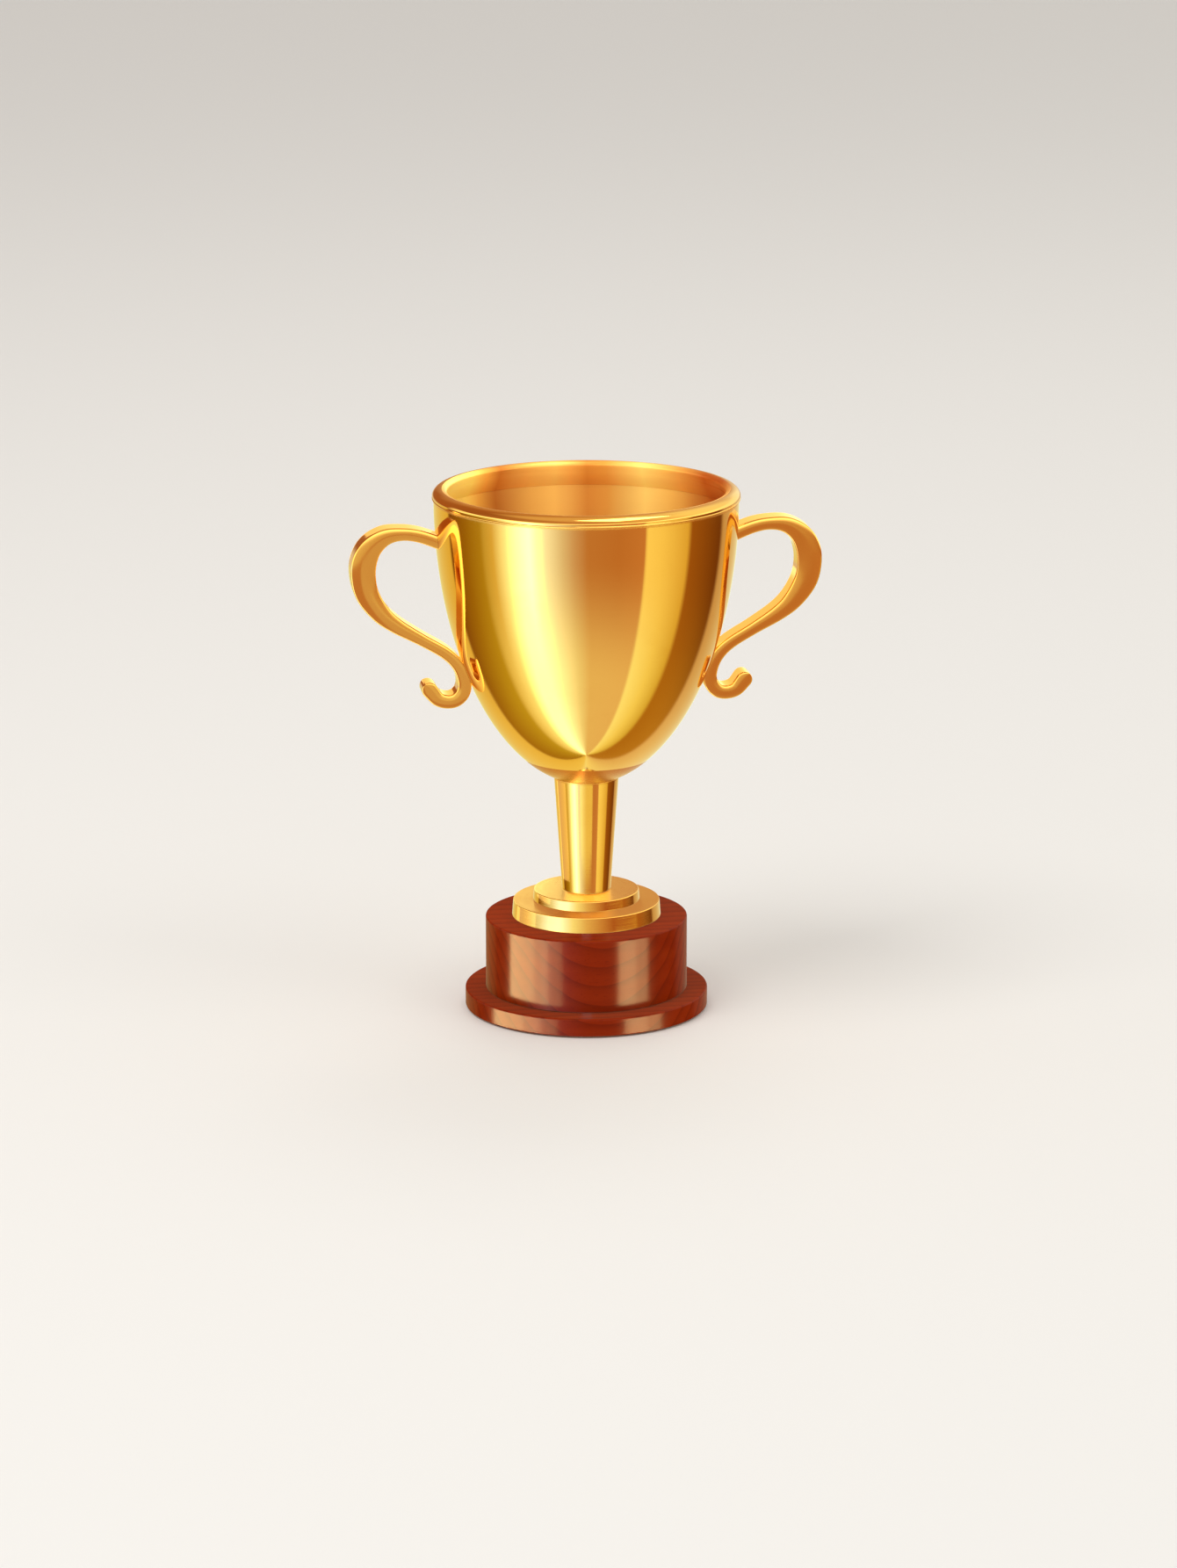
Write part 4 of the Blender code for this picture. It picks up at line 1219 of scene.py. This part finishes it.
# What the gold and the lacquer mirror: rings of tall soft boxes and warm flags round the trophy. Each
# stop is the angle round from the camera in degrees, to the right, and the light's colour.
DEEP_RING = [
    (-180, (0.98, 1.10, 0.90)),
    (-168, (0.93, 0.85, 0.35)),
    (-128, (0.85, 0.70, 0.22)),
    (-124, (0.38, 0.22, 0.02)),
    (-88, (0.55, 0.45, 0.05)),
    (-82, (0.85, 0.80, 0.40)),
    (-68, (1.10, 1.20, 0.90)),
    (-54, (3.0, 3.0, 3.0)),
    (-40, (3.0, 3.0, 3.0)),
    (-26, (1.3, 1.6, 1.9)),
    (-8, (0.92, 1.00, 0.95)),
    (4, (0.82, 0.71, 0.53)),
    (44, (0.82, 0.68, 0.50)),
    (47, (1.05, 1.20, 0.90)),
    (66, (0.95, 0.95, 0.45)),
    (82, (0.72, 0.62, 0.17)),
    (87, (0.44, 0.22, 0.03)),
    (122, (0.50, 0.28, 0.05)),
    (128, (0.78, 0.62, 0.42)),
    (180, (1.00, 1.05, 0.70)),
]
LOWER_RING = [
    (-180, (1.02, 1.32, 1.25)),
    (-170, (0.85, 0.80, 0.35)),
    (-129, (0.77, 0.59, 0.14)),
    (-126, (0.22, 0.08, 0.01)),
    (-105, (0.33, 0.18, 0.01)),
    (-88, (0.45, 0.32, 0.03)),
    (-84, (0.59, 0.48, 0.13)),
    (-76, (0.74, 0.60, 0.20)),
    (-64, (1.15, 1.40, 1.40)),
    (-54, (3.0, 3.0, 3.0)),
    (-44, (4.2, 4.2, 4.2)),
    (-38, (2.2, 2.3, 2.7)),
    (-31, (1.05, 1.30, 2.0)),
    (-18, (0.76, 0.76, 0.95)),
    (-9, (0.63, 0.47, 0.46)),
    (1, (0.54, 0.27, 0.14)),
    (25, (0.53, 0.24, 0.11)),
    (45, (0.59, 0.28, 0.14)),
    (47, (1.04, 0.97, 0.50)),
    (60, (0.98, 0.88, 0.40)),
    (83, (0.76, 0.57, 0.16)),
    (87, (0.34, 0.13, 0.02)),
    (122, (0.17, 0.055, 0.01)),
    (127, (0.60, 0.42, 0.25)),
    (165, (0.85, 0.80, 0.50)),
    (180, (1.02, 1.25, 0.95)),
]
FOOT_RING = [
    (-180, (0.73, 0.55, 0.36)),
    (-112, (0.83, 0.76, 0.52)),
    (-79, (1.0, 1.3, 1.8)),
    (-61, (1.2, 1.7, 3.4)),
    (-40, (1.2, 1.7, 3.2)),
    (-21, (1.02, 1.20, 1.05)),
    (1, (0.79, 0.65, 0.42)),
    (24, (0.60, 0.34, 0.17)),
    (44, (0.40, 0.11, 0.03)),
    (75, (0.40, 0.105, 0.028)),
    (95, (0.50, 0.22, 0.08)),
    (112, (0.64, 0.44, 0.24)),
    (143, (0.60, 0.40, 0.25)),
    (180, (0.73, 0.55, 0.36)),
]
EDGE_RING = [
    (-180, (0.60, 0.33, 0.15)),
    (-166, (0.38, 0.13, 0.04)),
    (-125, (0.38, 0.13, 0.04)),
    (-112, (1.3, 1.2, 0.9)),
    (-60, (1.9, 1.8, 1.4)),
    (60, (1.9, 1.8, 1.4)),
    (120, (1.4, 1.3, 1.0)),
    (166, (1.05, 1.05, 0.80)),
    (180, (0.60, 0.33, 0.15)),
]
UPPER_RING = [
    (-180, (0.60, 0.33, 0.15)),
    (-150, (0.38, 0.14, 0.05)),
    (-100, (0.34, 0.13, 0.05)),
    (-50, (0.50, 0.25, 0.12)),
    (0, (0.60, 0.33, 0.20)),
    (50, (0.80, 0.55, 0.30)),
    (100, (1.10, 1.00, 0.70)),
    (150, (1.00, 0.95, 0.70)),
    (180, (0.60, 0.33, 0.15)),
]


def ring_stops(ring):
    return [((angle + 180) / 360, (*colour, 1.0)) for angle, colour in ring]


def make_world():
    """Even soft light everywhere, and the rings of soft boxes for what the polished surfaces mirror."""
    world = bpy.data.worlds.new("studio")
    bpy.context.scene.world = world
    world.use_nodes = True
    tree = world.node_tree
    tree.nodes.clear()
    direction = add_node(tree, "ShaderNodeTexCoord").outputs["Generated"]
    turned = mapped(tree, direction, rotation=(0, 0, math.pi / 2 - CAMERA_AZIMUTH))
    gradient = add_node(tree, "ShaderNodeTexGradient", {"Vector": turned}, gradient_type="RADIAL")
    around = gradient.outputs["Fac"]
    # How far a direction points up, from -1 to 1.
    height = add_node(tree, "ShaderNodeSeparateXYZ", {0: direction}).outputs[2]
    rings = (DEEP_RING, LOWER_RING, FOOT_RING, EDGE_RING, UPPER_RING)
    deep, lower, foot, edge, upper = (ramp(tree, around, ring_stops(ring)) for ring in rings)
    walls = blend_colours(tree, stepped(tree, height, -0.80, -0.30), deep, lower)
    walls = blend_colours(tree, stepped(tree, height, -0.19, -0.17), walls, foot)
    walls = blend_colours(tree, stepped(tree, height, -0.10, 0.02), walls, edge)
    walls = blend_colours(tree, stepped(tree, height, 0.24, 0.40), walls, upper)
    overhead = blend_colours(tree, stepped(tree, height, 0.75, 0.95), walls, (0.75, 0.52, 0.32, 1.0))
    mirrored = add_node(tree, "ShaderNodeBackground", {"Color": overhead, "Strength": 1.0})
    even = add_node(tree, "ShaderNodeBackground", {"Color": (0.93, 0.92, 0.90, 1.0), "Strength": 0.80})
    seen = add_node(tree, "ShaderNodeLightPath").outputs["Is Glossy Ray"]
    mixed = add_node(tree, "ShaderNodeMixShader", {0: seen, 1: even.outputs[0], 2: mirrored.outputs[0]})
    add_node(tree, "ShaderNodeOutputWorld", {"Surface": mixed.outputs[0]})


def add_softbox(name, azimuth, elevation, distance, size, power, aim=0.12):
    """An area light (width, height) that faces the trophy, at an angle round from the camera."""
    data = bpy.data.lights.new(name, "AREA")
    data.shape = "RECTANGLE"
    data.size, data.size_y = size
    data.energy = power
    data.color = (1.0, 0.98, 0.95)
    light = new_object(name, data)
    around = CAMERA_AZIMUTH + math.radians(azimuth)
    rise = math.radians(elevation)
    back = Vector((math.sin(around) * math.cos(rise), -math.cos(around) * math.cos(rise), math.sin(rise)))
    light.location = Vector((0.0, 0.0, aim)) + back * distance
    light.rotation_euler = back.to_track_quat("Z", "Y").to_euler()
    light.visible_camera = False
    return light


def light_only(light, names):
    """Keeps a light to the named pieces, which alone can also shade it."""
    group = bpy.data.collections.new(f"lit_by_{light.name}")
    for name in names:
        group.objects.link(bpy.data.objects[name])
    light.light_linking.receiver_collection = group
    light.light_linking.blocker_collection = group
    light.visible_diffuse = False


def add_strip(name, start, end, radiance, colour, pieces, heights=(-0.02, 0.08)):
    """A strip box below the camera's line that stands from one angle to another round the trophy.

    Only the named pieces mirror it. Radiance is how bright it looks, and heights is the range of the
    pieces that mirror it.
    """
    distance, down, spare = 0.62, 16.5, 0.08
    width = 2.0 * distance * math.tan(math.radians(end - start) / 2)
    tall = heights[1] - heights[0] + spare
    middle = (heights[0] + heights[1]) / 2
    power = radiance * math.pi * width * tall
    strip = add_softbox(name, (start + end) / 2, -down, distance, (width, tall), power, middle)
    strip.data.color = colour
    light_only(strip, pieces)


def keep_out_of_mirror(frame):
    """Keeps the discs, the dark plinth, and what is inside it, out of the mirror finish above them."""
    pieces = [bpy.data.objects[name] for name in (*DISCS, *PLINTH, "baize_pad")]
    inner = ["ballast_disc", "penny_washer", "spring_washer", "hex_nut", *PLINTH_SCREWS]
    for piece in [*pieces, *(frame["nodes"][node] for node in inner)]:
        piece.visible_glossy = False


def make_lights():
    for name, azimuth, elevation, distance, size, power in (
        ("key_softbox", -48, 56, 3.4, (1.7, 1.7), 42),
        ("fill_softbox", 62, 45, 3.6, (1.6, 1.6), 12),
        ("back_softbox", 170, 55, 3.4, (1.4, 1.4), 12),
    ):
        add_softbox(name, azimuth, elevation, distance, size, power).visible_glossy = False

    # Warm strips in the plinth's lacquer, brightest on the far side of each.
    strips = [(-93, -60, 12.0), (-93, -44, 14.0), (-93, -28, 10.5), (36, 56, 10.0), (36, 71, 18.0)]
    for number, (start, end, radiance) in enumerate(strips, 1):
        add_strip(f"plinth_strip_{number}", start, end, radiance, (1.0, 0.79, 0.35), PLINTH)

    # Strips that lift the left side of the stem and the discs, and the middle of the stem.
    add_strip("foot_strip", -134, -84, 0.55, (1.0, 0.95, 0.8), ["stem_taper", *DISCS], (0.05, 0.14))
    add_strip("stem_strip", -22, 22, 0.50, (0.65, 1.0, 0.4), ["stem_taper"], (0.05, 0.14))

    # One that lifts the flat faces of the left handle.
    add_strip("handle_strip", 0, 34, 0.20, (0.6, 1.0, 0.8), ["strap_handle_left"], (0.18, 0.28))

    # A small box behind, to the left, that shades off across the disc tops.
    tops = add_softbox("disc_softbox", -157, 10, 0.54, (0.4, 0.25), 0.55)
    tops.data.color = (0.7, 1.0, 0.6)
    light_only(tops, DISCS)

    # A low box behind that lights the straps' edges.
    edges = ["strap_handle_left", "strap_handle_right"]
    back = add_softbox("edge_softbox", 180, 9, 1.3, (1.1, 0.75), 2.2, 0.2)
    back.data.color = (1.0, 0.86, 0.36)
    light_only(back, edges)

    # An overhead box and a low fill that reach only the bowl and what is inside it.
    inside = ["spun_bowl", "rim_moulding", "spreader", "dome_nut_bright", "handle_screws"]
    overhead = add_softbox("inside_softbox", 60, 72, 1.0, (0.7, 0.5), 3.0, 0.25)
    light_only(overhead, inside)
    fill = add_softbox("inside_fill", 0, 20, 1.3, (0.9, 0.6), 15.0, 0.28)
    light_only(fill, inside)
    fill.visible_diffuse, fill.visible_glossy = True, False


# ---------------------------------------------------------------- the whole trophy


def main():
    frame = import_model()
    make_effects()

    # Height and spread of the crevices that darken with painted shade.
    bowl_seams = [(130.6 * MM, 2.0 * MM), (293.6 * MM, 0.9 * MM)]
    rim_seams = [(294.0 * MM, 0.7 * MM)]
    stem_seams = [(68.4 * MM, 1.4 * MM), (133.8 * MM, 1.2 * MM)]
    disc_seams = [(62.4 * MM, 0.5 * MM), (53.2 * MM, 0.7 * MM)]
    # The bowl's inside carries painted reflection streaks, and its underside a painted darker band.
    bowl_gold = gold_finish("gold_mirror_bowl", 0.045, 0.02, bowl_seams, inside=1.0, painted_underside_shade=True)
    # The rim's cove faces down into the bowl and gets less light, so its painted reflection streaks are
    # lifted brighter: painted light.
    rim_gold = gold_finish("gold_mirror_rim", 0.06, 0.02, rim_seams, inside=1.35)
    handle_gold = gold_finish("gold_cast_handle", 0.085, 0.0, [])
    stem_gold = gold_finish("gold_turned_stem", 0.07, 0.10, stem_seams)
    disc_gold = gold_finish("gold_turned_disc", 0.07, 0.12, disc_seams, 0.25 * MM, top_grain=0.2)
    hardware_gold = gold_finish("gold_hardware", 0.12, 0.15, [], 0.2 * MM)
    mahogany = mahogany_finish()
    zinc, iron, baize = zinc_finish(), iron_finish(), baize_finish()

    make_bowl(bowl_gold)
    make_rim(rim_gold)
    make_handles(handle_gold)
    make_stem(stem_gold)
    make_discs(disc_gold)
    make_nut_and_spreader(hardware_gold)
    make_handle_screws(hardware_gold)
    make_plinth(mahogany)
    make_felt(baize)

    frame["nodes"]["ballast_disc"].material_slots[0].material = iron
    for node in ("tie_rod", "penny_washer", "spring_washer", "hex_nut", *PLINTH_SCREWS):
        frame["nodes"][node].material_slots[0].material = zinc

    make_camera()
    make_floor()
    make_world()
    make_lights()
    keep_out_of_mirror(frame)
    bpy.context.scene.view_settings.view_transform = "Standard"


main()
